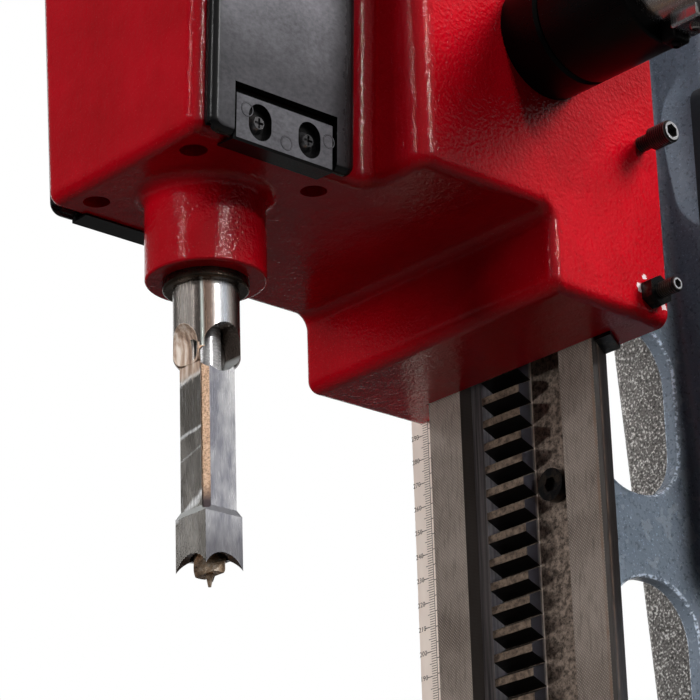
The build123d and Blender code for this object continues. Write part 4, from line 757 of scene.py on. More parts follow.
    def material(self) -> Material:
        """Builds all the zones and parts them by place.

        Returns:
            The material.
        """
        shader = Shader(self.name)
        x, y, z = shader.axis(Axis.X), shader.axis(Axis.Y, SPINDLE_Y), shader.axis(Axis.Z, UNDERSIDE)
        above = shader.spread(z, self.shank_end - 0.8 * MM, self.shank_end + 0.6 * MM)
        colour = shader.mix(above, self.faces(shader, x, z), self.shank(shader, x, y))
        slot = self.slot(shader, x, y, z)
        colour = shader.mix(slot, colour, self.chips(shader, z))
        fibre = shader.noise(520.0, 4.0, 0.66, shader.mapped((1.0, 1.0, 0.1), (0, 7, 0)))
        tan = [(0.3, srgb(84, 66, 56)), (0.48, srgb(146, 124, 108)), (0.66, srgb(190, 180, 170))]
        scoop = self.scoop(shader, x, y, z, fibre)
        colour = shader.mix(scoop, colour, shader.ramp(fibre, tan))
        # Painted shade: faces turned in towards the axis, the walls inside the windows, go dark.
        inward_shade = shader.calc(Calc.ADD, shader.both(x, shader.facing(Axis.X)),
                             shader.both(y, shader.facing(Axis.Y)))
        colour = shader.tone(inward_shade, (-0.2 * MM, -1.0 * MM), colour, srgb(84, 74, 68))
        # Painted reflection: the shoulder, which faces up, is grey, lighter where it faces the front.
        shoulder = shader.spread(shader.facing(Axis.Z), 0.12, 0.3)
        flank = shader.tone(shader.facing(Axis.Y), (-0.3, -0.5), srgb(98, 98, 101), srgb(134, 135, 134))
        colour = shader.mix(shoulder, colour, flank)
        grind = shader.noise(2400.0, 3.0, 0.6, shader.mapped((1.0, 1.0, 0.04)))
        dull = shader.calc(Calc.MAXIMUM, shader.calc(Calc.MAXIMUM, slot, scoop), shoulder)
        rough = shader.blend(dull, shader.spread(grind, 0.3, 0.7, 0.16, 0.32), 0.62)
        metal = shader.blend(dull, 0.72, 0.15)
        normal = shader.bump(shader.blend(dull, grind, fibre), 0.35, 0.00004)
        return shader.finish(base_color=colour, roughness=rough, metallic=metal, normal=normal)


@dataclass(frozen=True)
class AugerSteel:
    """Auger bit: bright plain shank, flutes browned by heat and resin."""

    name: str
    flute_top: float = -75.0 * MM

    def material(self) -> Material:
        """Builds both zones with turning lines on the shank and streaks in the flutes.

        Returns:
            The material.
        """
        shader = Shader(self.name)
        turned = shader.noise(1500.0, 3.0, 0.6, shader.mapped((0.4, 0.4, 1.0)))
        bright = shader.tone(turned, (0.35, 0.7), srgb(250, 249, 250), srgb(190, 187, 186))
        stops = [(0.32, srgb(96, 76, 62)), (0.5, srgb(186, 160, 134)), (0.66, srgb(238, 222, 204))]
        brown = shader.ramp(shader.noise(240.0, 4.0, 0.65), stops)
        fluted = (self.flute_top, self.flute_top - 1.0 * MM)
        colour = shader.tone(shader.axis(Axis.Z, UNDERSIDE), fluted, bright, brown)
        rough = shader.spread(turned, 0.3, 0.7, 0.2, 0.34)
        normal = shader.bump(turned, 0.3, 0.00003)
        return shader.finish(base_color=colour, roughness=rough, normal=normal, metallic=0.55)


@dataclass(frozen=True)
class OxideSteel:
    """Black oxide steel, brown where it is worn, bare and bright on a filed end."""

    name: str
    black: Colour = srgb(36, 36, 37)
    worn: Colour = srgb(92, 78, 66)
    rough: float = 0.32
    thread: float = 0.0
    bright_end: bool = False
    crest: Colour = srgb(120, 112, 106)
    bare: Colour = srgb(236, 236, 238)

    def material(self) -> Material:
        """Builds the oxide: fine mottling, worn patches, thread ridges along X and a bright end.

        Returns:
            The material.
        """
        shader = Shader(self.name)
        colour = shader.tone(shader.noise(180.0, 4.0, 0.65), (0.5, 0.8), self.black, self.worn)
        fine = shader.noise(1800.0, 2.0)
        normal = shader.bump(fine, 0.3, 0.00004)
        rough = shader.calc(Calc.ADD, shader.spread(fine, 0.3, 0.7, -0.06, 0.08), self.rough)
        if self.thread:
            ridge = shader.lines(self.thread, shader.place)
            colour = shader.mix(shader.spread(ridge, 0.75, 1.0, 0.0, 0.6), colour, self.crest)
            normal = shader.bump(ridge, 0.9, 0.45 * self.thread, normal)
        if self.bright_end:
            colour = shader.tone(shader.facing(Axis.X), (0.75, 0.9), colour, self.bare)
        return shader.finish(base_color=colour, roughness=rough, normal=normal, metallic=0.85)


@dataclass(frozen=True)
class MachinedIron:
    """Milled cast iron with crossed tool marks, chamfers painted white as a highlight and sides painted dark
    as shade.
    """

    name: str
    pale: Colour = srgb(150, 138, 130)
    brown: Colour = srgb(96, 84, 76)
    crest: Colour = srgb(214, 200, 186)
    groove: Colour = srgb(60, 53, 48)
    # White painted highlight on the chamfers.
    chamfer: Colour = srgb(255, 255, 255)
    # Dark painted shade on the sides.
    side: Colour = srgb(44, 39, 36)
    pitch: float = 0.95 * MM
    slant: float = 45

    def layers(self, shader: Shader) -> Layers:
        """Gives the iron's coat.

        Args:
            shader: Material that it is part of.

        Returns:
            Colour, roughness and normal.
        """
        one, two = (shader.lines(self.pitch, shader.mapped((1, 1, 1), (0, turn, 0)), 0.4)
                    for turn in (self.slant, -self.slant))
        hatch = shader.calc(Calc.MULTIPLY, one, two)
        lay = shader.noise(700.0, 3.0, 0.6, shader.mapped((1.0, 1.0, 0.15), (0, 24, 0)))
        colour = shader.tone(shader.noise(26.0, 5.0, 0.62), (0.36, 0.66), self.pale, self.brown)
        colour = shader.mix(shader.spread(hatch, 0.25, 0.9, 0.0, 0.45), colour, self.crest)
        colour = shader.mix(shader.spread(lay, 0.5, 0.72, 0.0, 0.5), colour, self.groove)
        # Painted highlight on faces half turned to X, the chamfers, and painted shade on faces turned to X,
        # the sides.
        turned = shader.turned_to(Axis.X)
        colour = shader.tone(turned, (0.3, 0.5), colour, self.chamfer)
        colour = shader.tone(turned, (0.74, 0.8), colour, self.side)
        rough = shader.spread(lay, 0.3, 0.7, 0.5, 0.36)
        normal = shader.bump(hatch, 0.35, 0.00006, shader.bump(lay, 0.3, 0.00005))
        return colour, rough, normal

    def material(self) -> Material:
        """Builds the iron on its own.

        Returns:
            The material.
        """
        shader = Shader(self.name)
        colour, rough, normal = self.layers(shader)
        return shader.finish(base_color=colour, roughness=rough, normal=normal, metallic=0.35)


@dataclass(frozen=True)
class ColumnFinish:
    """Bare machined ways, granular paint on the rear flange's front, smooth paint elsewhere."""

    name: str
    paint: GreyPaint
    iron: MachinedIron
    way_rear: float
    way_bottom: float
    way_half: float = 46.25 * MM
    paint_stray: float = 0.6 * MM
    sand_edge: Span = (-5 * MM, -7 * MM)
    web_edge: Span = (4.4 * MM, 4.2 * MM)
    rust_inner: Span = (3.4 * MM, 2.8 * MM)
    rust_outer: Span = (1.7 * MM, 2.0 * MM)
    # Colour of the painted highlight on the rims of the web's holes.
    rim: Colour = srgb(214, 226, 242)
    rust: Colour = srgb(124, 101, 86)

    def painted(self, shader: Shader, sand: Socket) -> Layers:
        """Gives the paint, with painted highlights as bright rims round the web's holes.

        Args:
            shader: Material that it is part of.
            sand: Where it lies on a sand cast skin.

        Returns:
            Colour, roughness and normal.
        """
        colour, rough, normal = self.paint.smooth(shader)
        turned = shader.turned_to(Axis.X)
        # Painted highlight: the rounded rims of the web's holes, near the web and half turned to X, get a
        # pale blue.
        rim = shader.both(shader.spread(turned, 0.25, 0.4), shader.spread(turned, 0.93, 0.8),
                          shader.spread(shader.calc(Calc.ABSOLUTE, shader.axis(Axis.X)), *self.web_edge),
                          shader.spread(shader.noise(700.0, 2.0), 0.46, 0.6))
        smooth = (shader.mix(rim, colour, self.rim), rough, normal)
        return shader.lay(sand, smooth, self.paint.granular(shader))

    def ways(self, shader: Shader) -> Layers:
        """Gives the bare iron, with a brown line along the right way.

        Args:
            shader: Material that it is part of.

        Returns:
            Colour, roughness and normal.
        """
        colour, rough, normal = self.iron.layers(shader)
        right = shader.axis(Axis.X)
        spans = (self.rust_inner, self.rust_outer)
        inner, outer = ([self.way_half - inset for inset in span] for span in spans)
        rust = shader.both(shader.spread(right, *inner), shader.spread(right, *outer),
                           shader.spread(shader.noise(150.0, 4.0, 0.6), 0.4, 0.6, 0.25, 0.85))
        return shader.mix(rust, colour, self.rust), rough, normal

    def material(self) -> Material:
        """Builds the three finishes and parts them by place and by the way the surface faces.

        Returns:
            The material.
        """
        shader = Shader(self.name)
        stray = shader.spread(shader.noise(120.0, 3.0, 0.6), 0.3, 0.7, -self.paint_stray, self.paint_stray)
        reach = shader.calc(Calc.ADD, shader.axis(Axis.Y), stray)
        foot = (self.way_bottom - 0.5 * MM, self.way_bottom + 0.5 * MM)
        bare = shader.both(shader.spread(reach, self.way_rear + 0.8 * MM, self.way_rear),
                           shader.spread(shader.axis(Axis.Z), *foot))
        sand = shader.both(shader.spread(shader.facing(Axis.Y), -0.35, -0.7),
                           shader.spread(shader.axis(Axis.X), *self.sand_edge))
        colour, rough, normal = shader.lay(bare, self.painted(shader, sand), self.ways(shader))
        metal = shader.blend(bare, shader.blend(sand, 0.0, 0.2), 0.35)
        return shader.finish(base_color=colour, roughness=rough, metallic=metal, normal=normal)


@dataclass(frozen=True)
class RackFinish:
    """Cut rack steel: tan worn tips, black flanks painted as shade, tooth ends painted blue grey as a
    reflection, a painted highlight line along the teeth's right end, speckled ledge.
    """

    name: str
    root_y: float
    tooth_left: float
    tooth_right: float
    root_blend: float = 1.2 * MM
    burr_start: Span = (-0.05 * MM, 0.05 * MM)
    burr_end: Span = (0.7 * MM, 0.5 * MM)
    # Tooth ends: blue grey painted as a reflection.
    end: Colour = srgb(62, 61, 69)
    # Painted highlight line along the right end of the teeth.
    burr: Colour = srgb(236, 224, 214)
    # Near black painted as shade on the flanks turned up or down.
    flank: Colour = srgb(13, 11, 11)

    def ledge(self, shader: Shader, mottle: Socket) -> Socket:
        """Gives the speckled ledge beside the teeth.

        Args:
            shader: Material that it is part of.
            mottle: Pattern of its patches.

        Returns:
            Colour socket.
        """
        pit = shader.spread(shader.noise(1100.0, 3.0, 0.7), 0.56, 0.64)
        ledge = shader.tone(mottle, (0.4, 0.62), srgb(158, 141, 128), srgb(72, 62, 55))
        return shader.mix(shader.calc(Calc.MULTIPLY, pit, 0.7), ledge, srgb(20, 16, 14))

    def material(self) -> Material:
        """Builds the steel by depth in the teeth and by the way the surface faces.

        Returns:
            The material.
        """
        shader = Shader(self.name)
        mottle = shader.noise(420.0, 5.0, 0.7)
        tan = shader.tone(mottle, (0.38, 0.62), srgb(128, 111, 97), srgb(62, 51, 44))
        depth = shader.spread(shader.axis(Axis.Y), self.root_y - self.root_blend, self.root_y)
        colour = shader.mix(depth, tan, self.ledge(shader, mottle))
        # Painted reflection: faces turned to X, the tooth ends, are blue grey.
        colour = shader.tone(shader.turned_to(Axis.X), (0.5, 0.8), colour, self.end)
        across = shader.axis(Axis.X)
        # Painted highlight: a thin bright line on the ledge beside the teeth's right end.
        start, end = ([self.tooth_right + step for step in span] for span in (self.burr_start, self.burr_end))
        burr = shader.both(depth, shader.spread(across, *start), shader.spread(across, *end))
        colour = shader.mix(burr, colour, self.burr)
        drawn = shader.noise(900.0, 3.0, 0.6, shader.mapped((1.0, 1.0, 0.02)))
        bar = shader.tone(drawn, (0.35, 0.65), srgb(124, 118, 118), srgb(70, 66, 68))
        colour = shader.tone(across, (self.tooth_left + 0.1 * MM, self.tooth_left - 0.1 * MM), colour, bar)
        # Painted shade: flanks turned to Z go near black.
        colour = shader.tone(shader.turned_to(Axis.Z), (0.4, 0.7), colour, self.flank)
        marks = shader.noise(1300.0, 3.0, 0.6, shader.mapped((0.08, 1.0, 1.0)))
        rough = shader.spread(marks, 0.3, 0.7, 0.4, 0.58)
        normal = shader.bump(marks, 0.4, 0.00005)
        return shader.finish(base_color=colour, roughness=rough, normal=normal, metallic=0.3)


@dataclass(frozen=True)
class PrintedFace:
    """Printed or lacquered face, such as a scale and its ink."""

    name: str
    face: Colour
    shade: Colour
    rough: float = 0.5
    uneven: float = 0.08

    def material(self) -> Material:
        """Builds the face with faint stains along its length.

        Returns:
            The material.
        """
        shader = Shader(self.name)
        stain = shader.noise(90.0, 4.0, 0.6, shader.mapped((1.0, 1.0, 0.3)))
        colour = shader.tone(stain, (0.4, 0.72), self.face, self.shade)
        fine = shader.noise(2400.0, 2.0)
        rough = shader.spread(fine, 0.3, 0.7, self.rough - self.uneven, self.rough + self.uneven)
        return shader.finish(base_color=colour, roughness=rough, normal=shader.bump(fine, 0.2, 0.00003))


@dataclass(frozen=True)
class WoodFinish:
    """Oiled beech with grain along X."""

    name: str
    pale: Colour
    dark: Colour
    pore: Colour = srgb(110, 70, 40)

    def material(self) -> Material:
        """Builds rings, pores and flecks.

        Returns:
            The material.
        """
        shader = Shader(self.name)
        rings = shader.noise(60.0, 4.0, 0.6, shader.mapped((0.12, 1.0, 1.0)), 0.8)
        pores = shader.noise(900.0, 2.0, 0.6, shader.mapped((0.05, 1.0, 1.0)))
        colour = shader.tone(rings, (0.35, 0.7), self.pale, self.dark)
        colour = shader.mix(shader.spread(pores, 0.56, 0.72, 0.0, 0.5), colour, self.pore)
        rough = shader.spread(rings, 0.3, 0.7, 0.42, 0.56)
        return shader.finish(base_color=colour, roughness=rough, normal=shader.bump(pores, 0.35, 0.0001))


@dataclass(frozen=True)
class WheelFinish:
    """Hand wheel on its screw: polished rim, painted spokes, black grip, bright thread."""

    name: str
    axis: Axis
    centre: Point
    grip_end: float
    hub_back: float
    rim_inner: float
    sign: float
    thread: float = 5.0 * MM
    edge: float = 0.4 * MM
    rim_edge: float = 0.5 * MM
    grip: Colour = srgb(24, 24, 26)

    def material(self) -> Material:
        """Builds the zones along the screw's axis and by distance from it.

        Returns:
            The material.
        """
        shader = Shader(self.name)
        along = shader.calc(Calc.MULTIPLY, shader.axis(self.axis), self.sign)
        wide = shader.reach(self.centre, (0, 1, 1) if self.axis is Axis.X else (1, 0, 1))
        cast = shader.noise(260.0, 4.0, 0.6)
        colour = shader.tone(cast, (0.3, 0.7), srgb(58, 66, 76), srgb(40, 47, 56))
        turned = shader.noise(1600.0, 3.0, 0.6, shader.mapped((0.2, 1.0, 1.0)))
        steel = shader.tone(turned, (0.3, 0.7), srgb(196, 194, 190), srgb(146, 142, 138))
        rim = shader.spread(wide, self.rim_inner, self.rim_inner + self.rim_edge)
        back = shader.spread(along, self.hub_back, self.hub_back - self.edge)
        grip = shader.spread(along, self.grip_end - self.edge, self.grip_end)
        metal = shader.calc(Calc.MAXIMUM, rim, back)
        colour = shader.mix(grip, shader.mix(metal, colour, steel), self.grip)
        bare = shader.both(metal, shader.calc(Calc.SUBTRACT, 1.0, grip))
        ridge = shader.lines(self.thread, shader.place, 0.0, self.axis)
        normal = shader.bump(cast, 0.4, 0.0002)
        normal = shader.turn_normal(metal, normal, shader.bump(turned, 0.25, 0.00003))
        normal = shader.turn_normal(back, normal, shader.bump(ridge, 1.0, 0.25 * self.thread))
        rough = shader.blend(bare, shader.spread(cast, 0.3, 0.7, 0.26, 0.4),
                             shader.spread(turned, 0.3, 0.7, 0.16, 0.3))
        return shader.finish(base_color=colour, roughness=rough, normal=normal, metallic=bare)


@dataclass
class Shop:
    """Every finish of the machine, made once."""

    chip: Colour = srgb(244, 222, 224)
    chip_x: float = 71.3
    chips: tuple[tuple[float, float, float], ...] = ((2.0, -15.4, 1.2), (-1.2, -19.6, 1.4),
                                                     (-1.0, -21.4, 1.1), (12.0, -25.2, 1.5))
    way_depth: float = 15.9 * MM
    way_overrun: float = 3.0 * MM
    root_depth: float = 6.75 * MM
    teeth: Span = (-21.2 * MM, -0.8 * MM)
    # Painted shade: the covers darken towards the bottom over this span.
    cover_fade: Span = (28.0 * MM, 58.0 * MM)
    # Colour of the painted shade off the flat side faces of covers and plates.
    cover_edge: Colour = srgb(16, 15, 16)

    def __post_init__(self) -> None:
        """Builds the materials."""
        self.paints()
        self.plastics()
        self.steels()
        self.faces()

    def paints(self) -> None:
        """Builds paints and the column's and rack's finishes."""
        grey = GreyPaint("blue_grey", srgb(128, 138, 150), srgb(108, 119, 132))
        ways = MachinedIron("way_iron", srgb(142, 130, 122), srgb(100, 89, 82))
        chips = tuple(Spot(at(self.chip_x, y, z), size * MM, self.chip) for y, z, size in self.chips)
        self.red = CastingPaint("red_casting", srgb(198, 4, 26), srgb(178, 2, 18), chips).material()
        self.grey = grey.material()
        self.iron = MachinedIron("machined_iron").material()
        self.column = ColumnFinish("column_finish", grey, ways, WAY_FACE + self.way_depth,
                                   RACK_LOW.z - self.way_overrun).material()
        self.rack = RackFinish("rack_steel", RACK_LOW.y + self.root_depth, *self.teeth).material()

    def plastics(self) -> None:
        """Builds the plastics of covers, boxes, grips and buttons."""
        low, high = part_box("cover_right")
        # Covers and plates: their lighter haze clouds are a painted sheen.
        self.cover = MouldedPlastic("cover_black", srgb(78, 77, 81), srgb(136, 134, 140), 0.4,
                                    edge=self.cover_edge, rim=(low.y, high.y),
                                    fade=self.cover_fade).material()
        self.plate = MouldedPlastic("plate_black", srgb(58, 57, 61), srgb(118, 117, 122), 0.36,
                                    edge=self.cover_edge, floor=PLATE_FACE * MM).material()
        self.box = MouldedPlastic("box_black", srgb(30, 30, 32), srgb(44, 44, 47), 0.42).material()
        self.gloss = MouldedPlastic("gloss_black", srgb(5, 4, 4), srgb(9, 7, 7), 0.3, grain=700.0,
                                    grain_depth=0.00002, gloss=0.1).material()
        self.go = MouldedPlastic("green_button", srgb(20, 120, 50), srgb(30, 140, 62), 0.22).material()
        self.halt = MouldedPlastic("red_button", srgb(190, 24, 24), srgb(205, 40, 36), 0.22).material()

    def steels(self) -> None:
        """Builds the bare and blackened steels."""
        self.steel = GroundSteel("turned_steel", srgb(205, 204, 204), srgb(160, 154, 150)).material()
        self.bush = GroundSteel("bush_steel", srgb(104, 90, 78), srgb(46, 40, 36), stretch=(0.5, 0.5, 1.0),
                                rough=0.26, scale=500.0).material()
        self.chisel = ChiselSteel("chisel_steel").material()
        self.auger = AugerSteel("auger_steel").material()
        self.oxide = OxideSteel("black_oxide").material()
        # A grey copy of the black oxide, lightened as painted glint on the screws.
        self.screw = OxideSteel("screw_glint_grey", srgb(128, 127, 129), srgb(160, 152, 146), 0.18).material()
        self.threaded = OxideSteel("black_thread", thread=1.0 * MM, bright_end=True).material()

    def faces(self) -> None:
        """Builds printed faces and wood."""
        self.scale = PrintedFace("scale_face", srgb(242, 228, 217), srgb(228, 212, 202)).material()
        self.ink = PrintedFace("scale_ink", srgb(46, 40, 38), srgb(66, 58, 54)).material()
        self.mark = PrintedFace("button_mark", srgb(232, 232, 228), srgb(214, 214, 210), 0.35).material()
        self.wood = WoodFinish("beech", srgb(206, 160, 108), srgb(170, 118, 72)).material()


def dress(material: Material, *nodes: str) -> None:
    """Gives CAD nodes a material.

    Args:
        material: Material to use.
        *nodes: Names of the nodes.
    """
    for name in nodes:
        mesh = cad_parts[name].data
        mesh.materials.clear()
        mesh.materials.append(material)
        LOG.info("dressed %s in %s", name, material.name)


class Craft:
    """Makes the mesh of one fine piece out of blocks, turned shapes, rings and digits."""

    def __init__(self, name: str) -> None:
        """Starts an empty piece."""
        self.name = name
        self.mesh = bmesh.new()

    def block(self, low: Point, high: Point, bevel: float = 0.0) -> None:
        """Adds a block.

        Args:
            low: Lowest corner.
            high: Highest corner.
            bevel: Width of its rounded edges, none by default.
        """
        part = bmesh.new()
        size = Vector(high) - Vector(low)
        middle = (Vector(high) + Vector(low)) / 2
        place = Matrix.Translation(middle) @ Matrix.Diagonal((*size, 1.0))
        bmesh.ops.create_cube(part, size=1.0, matrix=place)
        if bevel:
            bmesh.ops.bevel(part, geom=part.edges[:], offset=bevel, segments=3, profile=0.5, affect="EDGES")
        self.take(part)

    def turned(self, profile: Sequence[Span], place: Matrix, steps: int = 40) -> None:
        """Adds a closed turned shape.

        Args:
            profile: Pairs of height and radius along the local Z axis.
            place: Where the axis stands.
            steps: Sides of the turned shape.
        """
        part = bmesh.new()
        rings = []
        turns = [math.tau * step / steps for step in range(steps)]
        for height, radius in profile:
            places = [Vector((radius * math.cos(turn), radius * math.sin(turn), height)) for turn in turns]
            rings.append([part.verts.new(place @ point) for point in places])
        for one, two in zip(rings, rings[1:]):
            for step in range(steps):
                after = (step + 1) % steps
                part.faces.new((one[step], one[after], two[after], two[step]))
        part.faces.new(list(reversed(rings[0])))
        part.faces.new(rings[-1])
        self.take(part)

    def ring(self, place: Matrix, radius: float, thick: float, rise: float, steps: int = 40) -> None:
        """Adds a low ring that stands on a face.

        Args:
            place: Middle of the ring, local Z out of the face.
            radius: Radius of the ring's middle.
            thick: Width of its section.
            rise: Height above the face.
            steps: Sides of the ring.
        """
        part = bmesh.new()
        section = [(-thick / 2, -rise), (-thick / 2, 0.6 * rise), (-thick / 6, rise), (thick / 6, rise),
                   (thick / 2, 0.6 * rise), (thick / 2, -rise)]
        rings = []
        for step in range(steps):
            turn = math.tau * step / steps
            rings.append([part.verts.new(place @ Vector(((radius + out) * math.cos(turn),
                                                         (radius + out) * math.sin(turn), up)))
                          for out, up in section])
        for step in range(steps):
            one, two = rings[step], rings[(step + 1) % steps]
            for side in range(len(section)):
                after = (side + 1) % len(section)
                part.faces.new((one[side], two[side], two[after], one[after]))
        self.take(part)

    def words(self, text: str, place: Matrix, size: float, rise: float) -> None:
        """Adds printed digits.

        Args:
            text: Digits to print.
            place: Middle of the print, local Z out of the face.
            size: Height of the type.
            rise: Thickness of the print.
        """
        curve = bpy.data.curves.new("print", "FONT")
        curve.body = text
        curve.size = size
        curve.extrude = rise
        curve.align_x = "CENTER"
        curve.align_y = "CENTER"
        curve.resolution_u = 3
        writer = bpy.data.objects.new("print", curve)
        part = bmesh.new()
        part.from_mesh(writer.to_mesh())
        writer.to_mesh_clear()
        bmesh.ops.transform(part, matrix=place, verts=part.verts[:])
        self.take(part)
        bpy.data.objects.remove(writer)
        bpy.data.curves.remove(curve)

    def take(self, part: bmesh.types.BMesh) -> None:
        """Joins a part to the piece.

        Args:
            part: Part to join, which is used up.
        """
        bmesh.ops.recalc_face_normals(part, faces=part.faces[:])
        mesh = bpy.data.meshes.new("part")
        part.to_mesh(mesh)
        part.free()
        self.mesh.from_mesh(mesh)
        bpy.data.meshes.remove(mesh)

    def done(self, material: Material, body: str, smooth: bool = False) -> None:
        """Makes the object and puts it on its body.

        Args:
            material: Finish.
            body: Body that it rides on.
            smooth: Whether its faces are shaded smooth.
        """
        mesh = bpy.data.meshes.new(self.name)
        for face in self.mesh.faces:
            face.smooth = smooth
        self.mesh.to_mesh(mesh)
        self.mesh.free()
        mesh.materials.append(material)
        piece = bpy.data.objects.new(self.name, mesh)
        bpy.context.scene.collection.objects.link(piece)
        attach(piece, body)
        LOG.info("built %s on %s", self.name, body)


def facing_place(point: Point, out: Point, up: Point) -> Matrix:
    """Gives a place on a face.

    Args:
        point: Where it is.
        out: Direction out of the face.
        up: Direction that counts as up on the face.

    Returns:
        Matrix with local Z out of the face and local Y up on it.
    """
    normal = Vector(out).normalized()
    across = Vector(up).cross(normal).normalized()
    place = Matrix((across, normal.cross(across), normal)).transposed().to_4x4()
    place.translation = Vector(point)
    return place


class Assembly:
    """A sub-assembly, whose solids come from the frame and whose fine pieces are built here."""

    def dress(self, shop: Shop) -> None:
        """Dresses the solids; each sub-assembly says how."""
        raise NotImplementedError

    def build(self, shop: Shop) -> None:
        """Builds the fine pieces; a sub-assembly has none by default."""


@dataclass
class Frame(Assembly):
    """Base, column with its ways, rack, and the bracket that carries the table."""

    def dress(self, shop: Shop) -> None:
        """Dresses the frame's solids.

        Args:
            shop: Finishes of the machine.
        """
        dress(shop.grey, "base_plate", "table_bracket")
        dress(shop.column, "column")
        dress(shop.rack, "rack")
        dress(shop.oxide, "rack_screws", "column_bolts", "bracket_bolts", "levelling_screws")


@dataclass
class DepthScale(Assembly):
    """Depth scale beside the ways, with its printed graduation and the sliding stop."""

    numeral_middle: float = 1.75 * MM
    numeral_size: float = 2.9 * MM
    ten_reach: Span = (3.2 * MM, 6.5 * MM)
    one_reach: Span = (6.3 * MM, 9.1 * MM)
    five_reach: Span = (5.2 * MM, 9.1 * MM)
    inch_reach: Span = (9.5 * MM, 11.3 * MM)
    inch_pitch: float = 6.35 * MM
    edge_line: float = 9.2 * MM
    line: float = 0.24 * MM
    ten_line: float = 1.3 * line
    inch_line: float = 1.2 * line
    rise: float = 0.03 * MM
    margin: float = 4.0 * MM

    def tick(self, craft: Craft, low: Vector, reach: Span, height: float, thick: float) -> None:
        """Prints one tick across the bar.

        Args:
            craft: Piece that takes it.
            low: The bar's lowest corner.
            reach: Its ends, from the bar's left edge.
            height: Its height in the frame.
            thick: Its thickness.
        """
        craft.block((low.x + reach[0], low.y - self.rise, height - thick / 2),
                    (low.x + reach[1], low.y + self.rise, height + thick / 2))

    def build(self, shop: Shop) -> None:
        """Prints ticks, numerals and the long line between the two scales on the bar.

        Args:
            shop: Finishes of the machine.
        """
        low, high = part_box("scale_bar")
        craft = Craft("scale_print")
        start = low.z + self.margin
        count = int((high.z - low.z - 2 * self.margin) / MM)
        for step in range(count + 1):
            height = start + step * MM
            reach = self.five_reach if step % 5 == 0 else self.one_reach
            self.tick(craft, low, reach, height, self.line)
            if step % 10 == 0:
                self.tick(craft, low, self.ten_reach, height, self.ten_line)
                place = facing_place((low.x + self.numeral_middle, low.y, height), (0, -1, 0), (0, 0, 1))
                craft.words(str(step), place, self.numeral_size, self.rise)
        for step in range(int(count * MM / self.inch_pitch) + 1):
            self.tick(craft, low, self.inch_reach, start + step * self.inch_pitch, self.inch_line)
        craft.block((low.x + self.edge_line, low.y - self.rise, start),
                    (low.x + self.edge_line + self.line, low.y + self.rise, start + count * MM))
        craft.done(shop.ink, "frame")

    def dress(self, shop: Shop) -> None:
        """Dresses the bar, its brackets and the stop.

        Args:
            shop: Finishes of the machine.
        """
        dress(shop.scale, "scale_bar")
        dress(shop.steel, "scale_brackets", "scale_screws")
        dress(shop.oxide, "depth_stop")
        dress(shop.gloss, "depth_stop_knob")


@dataclass
class Head(Assembly):
    """Sliding head: casting, gib and its screws, lock screw."""

    def dress(self, shop: Shop) -> None:
        """Dresses the head's solids.

        Args:
            shop: Finishes of the machine.
        """
        dress(shop.red, "head_casting", "motor_flange")
        dress(shop.oxide, "gib", "gib_nuts", "under_screws", "motor_bolts", "bush_screw")
        dress(shop.threaded, "gib_screws", "lock_screw")


@dataclass
class ChuckCover(Assembly):
    """One hinged chuck cover with its hinge plate."""

    side: Side
    mark_radius: float = 2.5 * MM
    mark_width: float = 0.5 * MM
    mark_rise: float = 0.09 * MM
    marks: tuple[Span, ...] = ((-169.5, 10.9), (-151.5, 3.4), (-132.0, 9.6))

    @property
    def tag(self) -> str:
        """Gives the side's name as it stands in the names of pieces."""
        return self.side.name.lower()

    def build(self, shop: Shop) -> None:
        """Stands low mould marks on the hinge plate.

        Args:
            shop: Finishes of the machine.
        """
        craft = Craft("hinge_marks_" + self.tag)
        hand = self.side.value
        for y, z in self.marks:
            point = at(hand * (PLATE_FACE + COVER_SLOPE * z), y, z)
            place = facing_place(point, (hand, 0, -COVER_SLOPE), (0, 0, 1))
            craft.ring(place, self.mark_radius, self.mark_width, self.mark_rise)
        craft.done(shop.plate, "head", True)

    def dress(self, shop: Shop) -> None:
        """Dresses the cover and its plate."""
        dress(shop.cover, "cover_" + self.tag)
        dress(shop.plate, "hinge_plate_" + self.tag)


@dataclass
class ChiselSet(Assembly):
    """Chisel, auger, bush, chuck and motor shaft."""

    def dress(self, shop: Shop) -> None:
        """Dresses the tools.

        Args:
            shop: Finishes of the machine.
        """
        dress(shop.chisel, "chisel")
        dress(shop.auger, "auger_bit")
        dress(shop.bush, "chisel_bush")
        dress(shop.steel, "chuck", "motor_shaft", "hinge_pins")
        dress(shop.screw, "hinge_screws")


